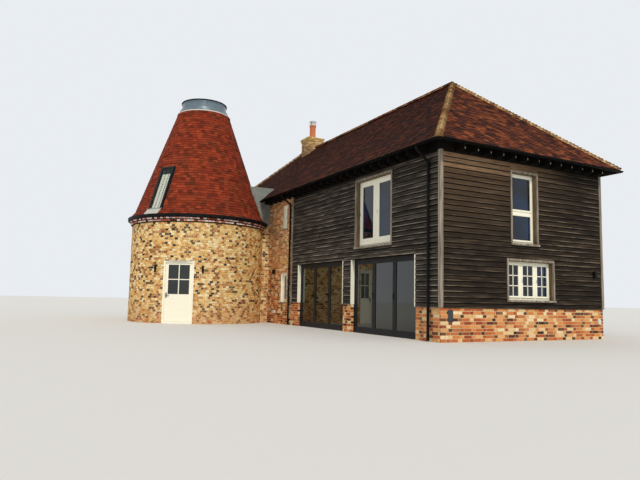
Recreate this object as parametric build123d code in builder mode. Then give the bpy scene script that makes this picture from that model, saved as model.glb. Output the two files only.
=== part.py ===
"""Converted oast house: a long hipped barn, boarded over a brick plinth, beside a round kiln.

Millimetres. X runs along the barn towards its near end, the long front wall faces -Y, Z is up.
The walls stand on Z = 0 and the origin is under the middle of the barn.
"""
import os
from math import asin, atan, ceil, cos, degrees, radians, sin, sqrt, tan

from build123d import *

# Barn walls
barn_length = 15730.0
barn_width = 5530.0
brick_wall = 220.0
boarded_wall = 200.0
plinth_height = 780.0
boarded_length = 7840.0
floor_thickness = 60.0
upper_floor_top = 2330.0
upper_floor_thickness = 200.0

# Barn roof
roof_pitch = 42.0
eaves_height = 4565.0
overhang = 370.0
roof_thickness = 60.0
ridge_radius = 110.0
hip_radius = 100.0
tile_sides = 16
rafter_pitch = 400.0
rafter_first = 440.0
rafter_last = 200.0
rafter_width = 50.0
rafter_depth = 100.0
rafter_reach = 330.0
gutter_radius = 45.0
gutter_wall = 4.0
gutter_drop = 35.0
pipe_radius = 34.0
pipe_sides = 12
pipe_stand_off = 70.0
pipe_foot = 20.0
near_pipe_from_end = 360.0
far_pipe_past_boards = 65.0
swan_neck_drop = 330.0
swan_neck_start = 60.0
bracket_count = 3
bracket_above_ground = 700.0
bracket_below_bend = 455.0
bracket_width = 60.0
bracket_height = 30.0

# Folding doors in the front wall, as distances from the near corner
near_doors = (900.0, 3850.0)
far_doors_start = 4300.0
far_doors_before_brick = 550.0
doors_head = 2025.0
doors_set_back = 80.0
doors_frame = 60.0
doors_frame_depth = 80.0
leaves_per_door = 3
leaf_gap = 4.0
leaf_stile = 70.0
leaf_bottom_rail = 110.0
leaf_thickness = 60.0
doors_glass = 28.0
lining_thickness = 25.0
lining_proud = 30.0

# Windows: the heads of the upper ones hang from the eaves
french_width = 1690.0
french_below_eaves = 345.0
french_across = 2
tall_width = 850.0
tall_below_eaves = 435.0
tall_lower_share = 0.44
triple_width = 1550.0
triple_height = 950.0
triple_across = 3
slim_width = 380.0
slim_below_eaves = 355.0
low_width = 500.0
low_height = 1020.0
upper_sill = 2370.0
slim_sill = 3370.0
low_sill = 780.0
triple_sill = 985.0
french_from_end = 2770.0
tall_off_middle = -120.0
triple_off_middle = 80.0
slim_past_boards = 600.0
low_past_boards = 620.0
window_frame = 45.0
window_depth = 70.0
window_set_back = 100.0
sash_stile = 55.0
french_stile = 120.0
french_bottom_rail = 185.0
sash_depth = 50.0
sash_proud = 8.0
pane_thickness = 20.0
surround_width = 50.0
surround_proud = 35.0
sill_height = 45.0
sill_proud = 35.0
sill_overhang = 60.0
brick_sill_overhang = 15.0
corner_board = 85.0
corner_board_proud = 35.0
arch_rise = 130.0
arch_infill = 290.0
arch_bearing = 30.0
arch_depth = 60.0

# Chimney
chimney_from_far_end = 3825.0
chimney_side = 690.0
chimney_below_ridge = 538.0
chimney_above_ridge = 482.0
chimney_corbel = 22.0
chimney_corbel_height = 150.0
flue_side = 260.0
pot_radius = 130.0
pot_sides = 24
pot_height = 640.0
pot_wall = 25.0
pot_band = 15.0
pot_band_height = 90.0
cowl_radius = 150.0
cowl_height = 170.0
cowl_cap = 45.0
cowl_strap = (40.0, 5.0)
cowl_clasp = 70.0
chimney_flashing = 8.0
flashing_reach = 120.0

# Round kiln
kiln_from_end = 11010.0
kiln_radius = 2390.0
kiln_wall = 220.0
kiln_gap = 2.0
kiln_wall_top = 3540.0
corbel_courses = 2
corbel_course = 75.0
corbel_step = 35.0
kiln_flats = 48
kiln_segments = 16
kiln_eave_z = 3650.0
kiln_eave_radius = 2490.0
kiln_kick_z = 3860.0
kiln_kick_radius = 2310.0
kiln_roof_top = 7900.0
kiln_top_radius = 885.0
kiln_roof_thickness = 130.0
kiln_gutter_width = 100.0
kiln_gutter_depth = 65.0
kiln_gutter_below = 18.0

# Glazed drum on the kiln roof
drum_radius = 830.0
drum_wall = 40.0
drum_height = 270.0
rim_width = 90.0
rim_height = 35.0
rim_overlap = 25.0
collar_height = 70.0
collar_width = 50.0

# Roof window in the kiln roof
roof_window_angle = -56.8
roof_window_width = 580.0
roof_window_length = 1720.0
roof_window_z = 4610.0
roof_window_frame = 60.0
roof_window_proud = 45.0
roof_window_deep = 130.0
roof_window_glass = 24.0
roof_window_flashing = 6.0
flashing_side = 45.0
flashing_apron = 150.0

# Link between the kiln and the barn
link_half_width = 1140.0
link_wall = 220.0
link_wall_top = 3630.0
link_above_eaves = 465.0
lead_wall = 60.0

# Kiln door
door_angle = -31.3
door_frame_width = 1040.0
door_frame_height = 2085.0
door_frame_bar = 45.0
door_frame_inset = 12.0
door_stop = 15.0
door_stop_depth = 42.0
door_threshold = 60.0
door_leaf = 44.0
door_clearance = 5.0
door_glass_width = 720.0
door_glass_foot = 970.0
door_glass_head = 1950.0
door_bar = 30.0
door_pane = 10.0
hinge_heights = (320.0, 1070.0, 1820.0)
hinge_length = 100.0
hinge_plate = 2.5
hinge_plate_width = 32.0
pin_radius = 4.0
pin_fit = 0.05
knuckle_radius = 7.0
knuckle_gap = 0.5
pin_offset = 8.0
handle_height = 930.0
handle_plate = (36.0, 170.0, 8.0)
handle_length = 110.0
handle_radius = 9.0
handle_reach = 45.0
handle_from_edge = 62.0

# Small fittings
light_height = 230.0
light_radius = 33.0
light_offset = 790.0
light_z = 1800.0
light_arm = 45.0
plate_size = (150.0, 270.0, 8.0)
plate_from_corner = 279.0
plate_z = 592.0
box_size = (110.0, 110.0, 60.0)
end_box_from_rear = 193.0
end_box_z = 455.0
front_box_share = 0.424
front_box_z = 424.0
lamp_size = (90.0, 150.0, 90.0)
end_lamp_from_rear = 342.0
end_lamp_z = 1698.0
front_lamp_share = 0.51
front_lamp_z = 1857.0

# Derived sizes
half_length = barn_length / 2
half_width = barn_width / 2
slope = tan(radians(roof_pitch))
roof_drop = roof_thickness / cos(radians(roof_pitch))
eaves_run = half_width + overhang
ridge_z = eaves_height + eaves_run * slope
roof_half = half_length + overhang
hip_half = roof_half - eaves_run
wall_head = eaves_height + overhang * slope - roof_drop
link_roof_z = eaves_height + link_above_eaves
link_inset = link_above_eaves / slope - overhang
upper_floor_foot = upper_floor_top - upper_floor_thickness
far_doors = (far_doors_start, boarded_length - far_doors_before_brick)
french_window = (french_width, eaves_height - french_below_eaves - upper_sill)
tall_window = (tall_width, eaves_height - tall_below_eaves - upper_sill)
triple_window = (triple_width, triple_height)
slim_window = (slim_width, eaves_height - slim_below_eaves - slim_sill)
low_window = (low_width, low_height)
slim_from_end = boarded_length + slim_past_boards
low_from_end = boarded_length + low_past_boards
brick_bay = (low_from_end + low_width / 2, kiln_from_end - link_half_width)
chimney_x = chimney_from_far_end - half_length
chimney_foot = ridge_z - chimney_below_ridge
chimney_top = ridge_z + chimney_above_ridge
kiln_x = half_length - kiln_from_end
kiln_y = -(half_width + kiln_radius + kiln_gap)
kiln_slope = (kiln_kick_radius - kiln_top_radius) / (kiln_roof_top - kiln_kick_z)
kick_slope = (kiln_eave_radius - kiln_kick_radius) / (kiln_kick_z - kiln_eave_z)
kiln_inner_radius = kiln_radius - kiln_wall
fascia_radius = kiln_radius + corbel_courses * corbel_step
segment_angle = 360.0 / kiln_segments
flat_angle = 360.0 / kiln_flats
flat_ratio = cos(radians(flat_angle / 2))
kiln_lean = atan(kiln_slope * flat_ratio)
kick_lean = atan(kick_slope * flat_ratio)
door_frame_depth = door_stop_depth + door_clearance + door_leaf
door_front = sqrt(kiln_radius**2 - (door_frame_width / 2) ** 2) - door_frame_inset
leaf_width = door_frame_width - 2 * door_frame_bar - 2 * door_clearance
leaf_foot = door_threshold + door_clearance
leaf_head = door_frame_height - door_frame_bar - door_clearance
pin_x = (leaf_width + door_clearance) / 2
beyond = 100.0
roof_turn = roof_window_angle - segment_angle / 2
upwards = (Align.CENTER, Align.MIN)

# Wall faces: local X runs along the wall, local Y is up, the normal points outwards
front_face = Plane(origin=(0, -half_width, 0), x_dir=(1, 0, 0), z_dir=(0, -1, 0))
rear_face = Plane(origin=(0, half_width, 0), x_dir=(-1, 0, 0), z_dir=(0, 1, 0))
near_face = Plane(origin=(half_length, 0, 0), x_dir=(0, 1, 0), z_dir=(1, 0, 0))
far_face = Plane(origin=(-half_length, 0, 0), x_dir=(0, -1, 0), z_dir=(-1, 0, 0))


def front_x(from_end):
    """Local X on the front face of a point measured from the near corner."""
    return half_length - from_end


def front_share(share):
    """Local X on the front face at a share of the way from the low window to the link."""
    start, end = brick_bay
    return front_x(start + share * (end - start))


# Lights of each kind of window: how many across, and the share of the height of each row from the foot up
single_light = (1, (1.0,))
french_lights = (french_across, (1.0,))
tall_lights = (1, (tall_lower_share, 1.0 - tall_lower_share))
triple_lights = (triple_across, (1.0,))

# Each window: wall face, local X of its middle, foot height, size, lights
front_windows = [
    (front_face, front_x(french_from_end), upper_sill, french_window, french_lights),
    (front_face, front_x(slim_from_end), slim_sill, slim_window, single_light),
    (front_face, front_x(low_from_end), low_sill, low_window, single_light),
]
near_windows = [
    (near_face, tall_off_middle, upper_sill, tall_window, tall_lights),
    (near_face, triple_off_middle, triple_sill, triple_window, triple_lights),
]
rear_windows = [
    (rear_face, -front_x(french_from_end), upper_sill, french_window, french_lights),
    (rear_face, -front_x(french_from_end), triple_sill, triple_window, triple_lights),
    (rear_face, -front_x(slim_from_end), slim_sill, slim_window, single_light),
    (rear_face, -front_x(low_from_end), low_sill, low_window, single_light),
    (rear_face, -chimney_x, upper_sill, tall_window, tall_lights),
    (rear_face, -chimney_x, triple_sill, triple_window, triple_lights),
]
far_windows = [
    (far_face, 0.0, upper_sill, tall_window, tall_lights),
    (far_face, 0.0, triple_sill, triple_window, triple_lights),
]
all_windows = front_windows + near_windows + rear_windows + far_windows
timber_windows = [w for w in all_windows if w[3] in (french_window, tall_window, triple_window)]


def window_middle(window):
    """Local place of a window's middle on its wall face."""
    _, middle, foot, (_, height), _ = window
    return (middle, foot + height / 2)


def lights(window):
    """Place about the window's middle and size of each light between the frame bars."""
    _, _, _, (width, height), (across, shares) = window
    wide = (width - (across + 1) * window_frame) / across
    room = height - (len(shares) + 1) * window_frame
    foot = window_frame - height / 2
    found = []
    for share in shares:
        high = share * room
        for column in range(across):
            middle = (column + 0.5 - across / 2) * (wide + window_frame)
            found.append(((middle, foot + high / 2), (wide, high)))
        foot += high + window_frame
    return found


def panes(window):
    """Place about the window's middle and size of the pane in each sash."""
    french = window[3] is french_window
    stile = french_stile if french else sash_stile
    rail = french_bottom_rail if french else sash_stile
    found = []
    for (middle, centre), (wide, high) in lights(window):
        place = (middle, centre + (rail - stile) / 2)
        found.append((place, (wide - 2 * stile, high - stile - rail)))
    return found


def hipped_body(drop):
    """Solid from the ground up to the four roof planes, lowered by drop."""
    with BuildPart() as body:
        with BuildSketch(Plane.YZ.offset(-half_length - overhang)):
            with BuildLine():
                Polyline(
                    (-eaves_run, 0),
                    (eaves_run, 0),
                    (eaves_run, eaves_height - drop),
                    (0, ridge_z - drop),
                    (-eaves_run, eaves_height - drop),
                    close=True,
                )
            make_face()
        extrude(amount=barn_length + 2 * overhang)
        with BuildSketch(Plane.XZ.offset(-eaves_run)):
            with BuildLine():
                Polyline(
                    (-half_length - overhang, 0),
                    (half_length + overhang, 0),
                    (half_length + overhang, eaves_height - drop),
                    (hip_half, ridge_z - drop),
                    (-hip_half, ridge_z - drop),
                    (-half_length - overhang, eaves_height - drop),
                    close=True,
                )
            make_face()
        extrude(amount=2 * eaves_run, mode=Mode.INTERSECT)
    return body.part


def block(x, y, z):
    """Box between two limits along each axis."""
    size = [high - low for low, high in (x, y, z)]
    middle = [(high + low) / 2 for low, high in (x, y, z)]
    return Pos(*middle) * Box(*size)


def kiln_level(z):
    """Level plane at a height, with its origin on the kiln's axis."""
    return Plane((kiln_x, kiln_y, z))


def kiln_outline(radius, turn, mode=Mode.ADD):
    """Many-sided outline round the kiln's axis, one corner at the given turn."""
    return RegularPolygon(radius, kiln_flats, rotation=turn, mode=mode)


def kiln_wedges(first_angle):
    """Every second upright wedge round the kiln's axis, beginning at the given angle."""
    reach = 2 * kiln_radius
    half_wide = reach * tan(radians(segment_angle / 2))
    with BuildPart() as wedges:
        with BuildSketch(kiln_level(0)):
            with PolarLocations(0, kiln_segments // 2, start_angle=first_angle + segment_angle / 2):
                Polygon((0, 0), (reach, -half_wide), (reach, half_wide), align=None)
        extrude(amount=kiln_roof_top)
    return wedges.part


def kiln_front(angle, distance, lean=0.0):
    """Plane facing outwards at a distance from the kiln's axis: local Y is up, or up the slope."""
    c = cos(radians(angle))
    s = sin(radians(angle))
    origin = (kiln_x + distance * c, kiln_y + distance * s, 0)
    normal = (c * cos(lean), s * cos(lean), sin(lean))
    return Plane(origin=origin, x_dir=(-s, c, 0), z_dir=normal)


def kiln_roof_body(extra):
    """Solid inside the outer faces of the kiln's roof, grown outwards by extra."""
    with BuildPart() as body:
        with BuildSketch(kiln_level(kiln_wall_top)):
            kiln_outline(fascia_radius + extra, roof_turn)
        extrude(amount=kiln_eave_z - kiln_wall_top)
        with BuildSketch(kiln_level(kiln_eave_z)):
            kiln_outline(kiln_eave_radius + extra, roof_turn)
        extrude(amount=kiln_kick_z - kiln_eave_z, taper=degrees(kick_lean))
        with BuildSketch(kiln_level(kiln_kick_z)):
            kiln_outline(kiln_kick_radius + extra, roof_turn)
        extrude(amount=kiln_roof_top - kiln_kick_z, taper=degrees(kiln_lean))
    return body.part


roof_outside = hipped_body(0.0)
roof_inside = hipped_body(roof_drop)
kiln_roof_outside = kiln_roof_body(0.0)
with BuildPart() as kiln_outside:
    with BuildSketch(kiln_level(0)):
        kiln_outline(kiln_radius, door_angle)
    extrude(amount=kiln_wall_top)
    add(kiln_roof_outside)
chimney_hole = block(
    (chimney_x - chimney_side / 2, chimney_x + chimney_side / 2),
    (-chimney_side / 2, chimney_side / 2),
    (chimney_foot, chimney_top),
)
link_sides = (kiln_x - link_half_width, kiln_x + link_half_width)
link_notch = block(
    link_sides,
    (-eaves_run - beyond, -half_width + link_inset),
    (link_wall_top, ridge_z),
)
link_space = block(
    link_sides,
    (kiln_y, 0),
    (0, kiln_roof_top),
)
eaves_limit = block((-roof_half, roof_half), (-eaves_run, eaves_run), (0, 2 * ridge_z))
barn_side = block(
    (kiln_x - kiln_radius, kiln_x + kiln_radius),
    (-half_width, half_width),
    (0, kiln_roof_top),
)


# Floors
with BuildPart() as ground_floors:
    with BuildSketch(Plane.XY):
        Rectangle(barn_length - 2 * brick_wall, barn_width - 2 * brick_wall)
        with Locations((kiln_x, kiln_y)):
            kiln_outline(kiln_inner_radius, door_angle)
    extrude(amount=floor_thickness)
ground_floors.part.label = "ground_floors"

with BuildPart() as upper_floor:
    with BuildSketch(Plane.XY.offset(upper_floor_foot)):
        Rectangle(barn_length - 2 * brick_wall, barn_width - 2 * brick_wall)
    extrude(amount=upper_floor_thickness)
upper_floor.part.label = "upper_floor"

# Brick plinth of the boarded half
with BuildPart() as end_plinth:
    with BuildSketch(near_face):
        with Locations((0, plinth_height / 2)):
            Rectangle(barn_width, plinth_height)
    extrude(amount=-brick_wall)
end_plinth.part.label = "end_plinth"

pier_limits = [
    (brick_wall, near_doors[0]),
    (near_doors[1], far_doors[0]),
    (far_doors[1], boarded_length),
]
with BuildPart() as side_plinths:
    with BuildSketch(front_face):
        for start, end in pier_limits:
            with Locations((front_x((start + end) / 2), plinth_height / 2)):
                Rectangle(end - start, plinth_height)
    extrude(amount=-brick_wall)
    with BuildSketch(rear_face):
        with Locations((-front_x((brick_wall + boarded_length) / 2), plinth_height / 2)):
            Rectangle(boarded_length - brick_wall, plinth_height)
    extrude(amount=-brick_wall)
side_plinths.part.label = "side_plinths"


# Boarded walls, standing on the plinth and cut to the underside of the roof
with BuildPart() as front_boarded_wall:
    with BuildSketch(front_face):
        with Locations((front_x((boarded_wall + boarded_length) / 2), plinth_height)):
            Rectangle(boarded_length - boarded_wall, ridge_z - plinth_height, align=upwards)
        for start, end in (near_doors, far_doors):
            with Locations((front_x((start + end) / 2), 0)):
                Rectangle(end - start, doors_head, align=upwards, mode=Mode.SUBTRACT)
        with Locations(window_middle(front_windows[0])):
            Rectangle(*french_window, mode=Mode.SUBTRACT)
    extrude(amount=-boarded_wall)
    add(roof_inside, mode=Mode.INTERSECT)
front_boarded_wall.part.label = "front_boarded_wall"

with BuildPart() as end_boarded_wall:
    with BuildSketch(near_face):
        with Locations((0, plinth_height)):
            Rectangle(barn_width, ridge_z - plinth_height, align=upwards)
        for window in near_windows:
            with Locations(window_middle(window)):
                Rectangle(*window[3], mode=Mode.SUBTRACT)
    extrude(amount=-boarded_wall)
    add(roof_inside, mode=Mode.INTERSECT)
end_boarded_wall.part.label = "end_boarded_wall"

with BuildPart() as rear_boarded_wall:
    with BuildSketch(rear_face):
        with Locations((-front_x((boarded_wall + boarded_length) / 2), plinth_height)):
            Rectangle(boarded_length - boarded_wall, ridge_z - plinth_height, align=upwards)
        for window in rear_windows[:2]:
            with Locations(window_middle(window)):
                Rectangle(*window[3], mode=Mode.SUBTRACT)
    extrude(amount=-boarded_wall)
    add(roof_inside, mode=Mode.INTERSECT)
rear_boarded_wall.part.label = "rear_boarded_wall"


# Brick walls of the older half; a segmental arch is let into the front one over its lower window
brick_span = barn_length - brick_wall - boarded_length
brick_middle = front_x(boarded_length + brick_span / 2)
low_middle = front_x(low_from_end)
arch_half = low_window[0] / 2 + arch_bearing
arch_foot = low_sill + low_window[1]
arch_spring = arch_foot + arch_infill
with BuildSketch(front_face) as arch_shape:
    with BuildLine():
        Polyline(
            (low_middle - arch_half, arch_spring),
            (low_middle - arch_half, arch_foot),
            (low_middle + arch_half, arch_foot),
            (low_middle + arch_half, arch_spring),
        )
        ThreePointArc(
            (low_middle + arch_half, arch_spring),
            (low_middle, arch_spring + arch_rise),
            (low_middle - arch_half, arch_spring),
        )
    make_face()

with BuildPart() as front_brick_wall:
    with BuildSketch(front_face):
        with Locations((brick_middle, 0)):
            Rectangle(brick_span, ridge_z, align=upwards)
        for window in front_windows[1:]:
            with Locations(window_middle(window)):
                Rectangle(*window[3], mode=Mode.SUBTRACT)
    extrude(amount=-brick_wall)
    extrude(arch_shape.sketch, amount=-arch_depth, mode=Mode.SUBTRACT)
    add(roof_inside, mode=Mode.INTERSECT)
front_brick_wall.part.label = "front_brick_wall"

with BuildPart() as window_arch:
    extrude(arch_shape.sketch, amount=-arch_depth)
window_arch.part.label = "window_arch"

with BuildPart() as rear_brick_wall:
    with BuildSketch(rear_face):
        with Locations((-brick_middle, 0)):
            Rectangle(brick_span, ridge_z, align=upwards)
        for window in rear_windows[2:]:
            with Locations(window_middle(window)):
                Rectangle(*window[3], mode=Mode.SUBTRACT)
    extrude(amount=-brick_wall)
    add(roof_inside, mode=Mode.INTERSECT)
rear_brick_wall.part.label = "rear_brick_wall"

with BuildPart() as far_end_wall:
    with BuildSketch(far_face):
        Rectangle(barn_width, ridge_z, align=upwards)
        for window in far_windows:
            with Locations(window_middle(window)):
                Rectangle(*window[3], mode=Mode.SUBTRACT)
    extrude(amount=-brick_wall)
    add(roof_inside, mode=Mode.INTERSECT)
far_end_wall.part.label = "far_end_wall"

# Corner boards round the boarded corners and upright boards where the boarding meets the brick
board_out = corner_board_proud
with BuildPart() as corner_boards:
    with BuildSketch(Plane.XY.offset(plinth_height)):
        for side in (-1, 1):
            corner_x = half_length + board_out
            corner_y = side * (half_width + board_out)
            with Locations((corner_x - corner_board / 2, corner_y - side * board_out / 2)):
                Rectangle(corner_board, board_out)
            with Locations((corner_x - board_out / 2, corner_y - side * corner_board / 2)):
                Rectangle(board_out, corner_board)
            with Locations((front_x(boarded_length - corner_board / 2), corner_y - side * board_out / 2)):
                Rectangle(corner_board, board_out)
    extrude(amount=ridge_z)
    add(roof_inside, mode=Mode.INTERSECT)
corner_boards.part.label = "corner_boards"


# Roof: slabs mitred on the hips, cut back round the chimney and the kiln link
def roof_slab(*slopes):
    """Slab of the roof over the given slopes, each a list of its corners in plan."""
    with BuildPart() as slab:
        with BuildSketch(Plane.XY):
            for corners in slopes:
                with BuildLine():
                    Polyline(*corners, close=True)
                make_face()
        extrude(amount=2 * ridge_z)
        add(roof_outside, mode=Mode.INTERSECT)
        add(roof_inside, mode=Mode.SUBTRACT)
        add(chimney_hole, mode=Mode.SUBTRACT)
        add(link_notch, mode=Mode.SUBTRACT)
    return slab.part


roof_front = roof_slab([(-roof_half, -eaves_run), (roof_half, -eaves_run), (hip_half, 0), (-hip_half, 0)])
roof_rear = roof_slab([(-roof_half, eaves_run), (roof_half, eaves_run), (hip_half, 0), (-hip_half, 0)])
roof_hips = roof_slab(
    [(roof_half, -eaves_run), (roof_half, eaves_run), (hip_half, 0)],
    [(-roof_half, -eaves_run), (-roof_half, eaves_run), (-hip_half, 0)],
)
roof_front.label = "roof_front"
roof_rear.label = "roof_rear"
roof_hips.label = "roof_hips"

# Ridge and hip tiles, seated on the roof planes
with BuildPart() as ridge_tiles:
    with BuildSketch(Plane.YZ.offset(-hip_half)):
        with Locations((0, ridge_z)):
            RegularPolygon(ridge_radius, tile_sides)
    extrude(amount=2 * hip_half)
    add(roof_outside, mode=Mode.SUBTRACT)
    add(chimney_hole, mode=Mode.SUBTRACT)
ridge_tiles.part.label = "ridge_tiles"

hip_length = sqrt(2 * eaves_run**2 + (ridge_z - eaves_height) ** 2)
with BuildPart() as hip_tiles:
    for end in (-1, 1):
        for side in (-1, 1):
            hip_foot = Vector(end * roof_half, side * eaves_run, eaves_height)
            hip_head = Vector(end * hip_half, 0, ridge_z)
            with BuildSketch(Plane(origin=hip_foot, z_dir=hip_head - hip_foot)):
                RegularPolygon(hip_radius, tile_sides)
            extrude(amount=hip_length)
    add(roof_outside, mode=Mode.SUBTRACT)
    add(ridge_tiles.part, mode=Mode.SUBTRACT)
    add(eaves_limit, mode=Mode.INTERSECT)
hip_tiles.part.label = "hip_tiles"

# Rafter feet under the eaves
long_feet = ceil((barn_length - rafter_first - rafter_last) / rafter_pitch)
end_feet = ceil((barn_width - rafter_first - rafter_last) / rafter_pitch)
with BuildPart() as rafter_feet:
    for face, feet, first, step in (
        (front_face, long_feet, half_length - rafter_first, -rafter_pitch),
        (rear_face, long_feet, rafter_first - half_length, rafter_pitch),
        (near_face, end_feet, rafter_first - half_width, rafter_pitch),
        (far_face, end_feet, half_width - rafter_first, -rafter_pitch),
    ):
        with BuildSketch(face):
            for number in range(feet):
                with Locations((first + number * step, eaves_height - roof_drop - rafter_depth)):
                    Rectangle(rafter_width, ridge_z, align=upwards)
        extrude(amount=rafter_reach)
    add(roof_inside, mode=Mode.INTERSECT)
    add(link_notch, mode=Mode.SUBTRACT)
rafter_feet.part.label = "rafter_feet"

# Gutter round the eaves, open where the kiln link passes, and its downpipes
gutter_z = eaves_height - gutter_drop
gutter_y = eaves_run + gutter_radius
gutter_x = roof_half + gutter_radius
with BuildPart() as barn_gutters:
    with BuildLine(Plane.XY.offset(gutter_z)):
        Polyline(
            (0, -gutter_y),
            (gutter_x, -gutter_y),
            (gutter_x, gutter_y),
            (-gutter_x, gutter_y),
            (-gutter_x, -gutter_y),
            close=True,
        )
    with BuildSketch(Plane(origin=(0, -gutter_y, gutter_z), x_dir=(0, 1, 0), z_dir=(1, 0, 0))):
        Circle(gutter_radius)
        Circle(gutter_radius - gutter_wall, mode=Mode.SUBTRACT)
        Rectangle(2 * gutter_radius, gutter_radius, align=upwards, mode=Mode.SUBTRACT)
    sweep(transition=Transition.RIGHT)
    add(link_notch, mode=Mode.SUBTRACT)
barn_gutters.part.label = "barn_gutters"

pipe_y = half_width + pipe_stand_off
pipe_head = gutter_z - gutter_radius
pipe_bend = pipe_head - swan_neck_drop
bracket_rise = pipe_bend - bracket_below_bend - bracket_above_ground
with BuildPart() as downpipes:
    for from_end in (near_pipe_from_end, boarded_length + far_pipe_past_boards):
        for side in (-1, 1):
            pipe_x = front_x(from_end)
            with BuildLine():
                Polyline(
                    (pipe_x, side * pipe_y, pipe_foot),
                    (pipe_x, side * pipe_y, pipe_bend),
                    (pipe_x, side * gutter_y, pipe_head - swan_neck_start),
                    (pipe_x, side * gutter_y, pipe_head),
                )
            with BuildSketch(Plane((pipe_x, side * pipe_y, pipe_foot))):
                RegularPolygon(pipe_radius, pipe_sides)
            sweep(transition=Transition.RIGHT)
            for number in range(bracket_count):
                height = bracket_above_ground + number * bracket_rise / (bracket_count - 1)
                with Locations((pipe_x, side * (half_width + pipe_stand_off / 2), height)):
                    Box(bracket_width, pipe_stand_off, bracket_height)
downpipes.part.label = "downpipes"

# Windows: frames in the wall openings, sashes in the frames, panes in the sashes
with BuildPart() as casement_frames:
    for window in all_windows:
        with BuildSketch(window[0].offset(-window_set_back)):
            with Locations(window_middle(window)):
                Rectangle(*window[3])
                for place, size in lights(window):
                    with Locations(place):
                        Rectangle(*size, mode=Mode.SUBTRACT)
        extrude(amount=-window_depth)
casement_frames.part.label = "casement_frames"

with BuildPart() as casement_sashes:
    for window in all_windows:
        with BuildSketch(window[0].offset(sash_proud - window_set_back)):
            with Locations(window_middle(window)):
                for place, size in lights(window):
                    with Locations(place):
                        Rectangle(*size)
                for place, size in panes(window):
                    with Locations(place):
                        Rectangle(*size, mode=Mode.SUBTRACT)
        extrude(amount=-sash_depth)
casement_sashes.part.label = "casement_sashes"

pane_inset = window_set_back + (sash_depth - sash_proud - pane_thickness) / 2
with BuildPart() as casement_glass:
    for window in all_windows:
        with BuildSketch(window[0].offset(-pane_inset)):
            with Locations(window_middle(window)):
                for place, size in panes(window):
                    with Locations(place):
                        Rectangle(*size)
        extrude(amount=-pane_thickness)
casement_glass.part.label = "casement_glass"

with BuildPart() as window_surrounds:
    for window in timber_windows:
        width, height = window[3]
        with BuildSketch(window[0]):
            with Locations(window_middle(window)):
                Rectangle(width + 2 * surround_width, height + 2 * surround_width)
                Rectangle(width, height, mode=Mode.SUBTRACT)
        extrude(amount=surround_proud)
window_surrounds.part.label = "window_surrounds"

with BuildPart() as window_sills:
    for window in all_windows:
        _, middle, foot, (width, _), _ = window
        trimmed = window in timber_windows
        past = sill_overhang if trimmed else brick_sill_overhang
        with BuildSketch(window[0].offset(surround_proud if trimmed else 0)):
            with Locations((middle, foot)):
                Rectangle(width + 2 * past, sill_height, align=(Align.CENTER, Align.MAX))
        extrude(amount=sill_proud)
window_sills.part.label = "window_sills"

# Folding doors: fixed frames, three leaves in each, and the pale linings of their reveals
door_openings = (near_doors, far_doors)
with BuildPart() as folding_frames:
    with BuildSketch(front_face.offset(-doors_set_back)):
        for start, end in door_openings:
            with Locations((front_x((start + end) / 2), doors_head / 2)):
                Rectangle(end - start, doors_head)
                Rectangle(end - start - 2 * doors_frame, doors_head - 2 * doors_frame, mode=Mode.SUBTRACT)
    extrude(amount=-doors_frame_depth)
folding_frames.part.label = "folding_frames"


def leaf_size(opening):
    """Width and height of one folding leaf, and the pitch of the leaves."""
    start, end = opening
    clear = end - start - 2 * doors_frame
    width = (clear - (leaves_per_door + 1) * leaf_gap) / leaves_per_door
    height = doors_head - 2 * doors_frame - leaf_gap
    return width, height, width + leaf_gap


leaf_plane = front_face.offset(-doors_set_back - (doors_frame_depth - leaf_thickness) / 2)
glass_plane = front_face.offset(-doors_set_back - (doors_frame_depth - doors_glass) / 2)
with BuildPart() as folding_leaves:
    with BuildSketch(leaf_plane):
        for opening in door_openings:
            width, height, pitch = leaf_size(opening)
            with Locations((front_x(sum(opening) / 2), doors_frame + height / 2)):
                with GridLocations(pitch, 1, leaves_per_door, 1):
                    Rectangle(width, height)
                    with Locations((0, (leaf_bottom_rail - leaf_stile) / 2)):
                        Rectangle(
                            width - 2 * leaf_stile,
                            height - leaf_stile - leaf_bottom_rail,
                            mode=Mode.SUBTRACT,
                        )
    extrude(amount=-leaf_thickness)
folding_leaves.part.label = "folding_leaves"

with BuildPart() as folding_glass:
    with BuildSketch(glass_plane):
        for opening in door_openings:
            width, height, pitch = leaf_size(opening)
            glass_middle = doors_frame + (height + leaf_bottom_rail - leaf_stile) / 2
            with Locations((front_x(sum(opening) / 2), glass_middle)):
                with GridLocations(pitch, 1, leaves_per_door, 1):
                    Rectangle(width - 2 * leaf_stile, height - leaf_stile - leaf_bottom_rail)
    extrude(amount=-doors_glass)
folding_glass.part.label = "folding_glass"

with BuildPart() as door_linings:
    with BuildSketch(front_face.offset(-doors_set_back)):
        for start, end in door_openings:
            for edge in (start + lining_thickness / 2, end - lining_thickness / 2):
                with Locations((front_x(edge), (plinth_height + doors_head) / 2)):
                    Rectangle(lining_thickness, doors_head - plinth_height)
    extrude(amount=doors_set_back + lining_proud)
door_linings.part.label = "door_linings"

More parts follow.
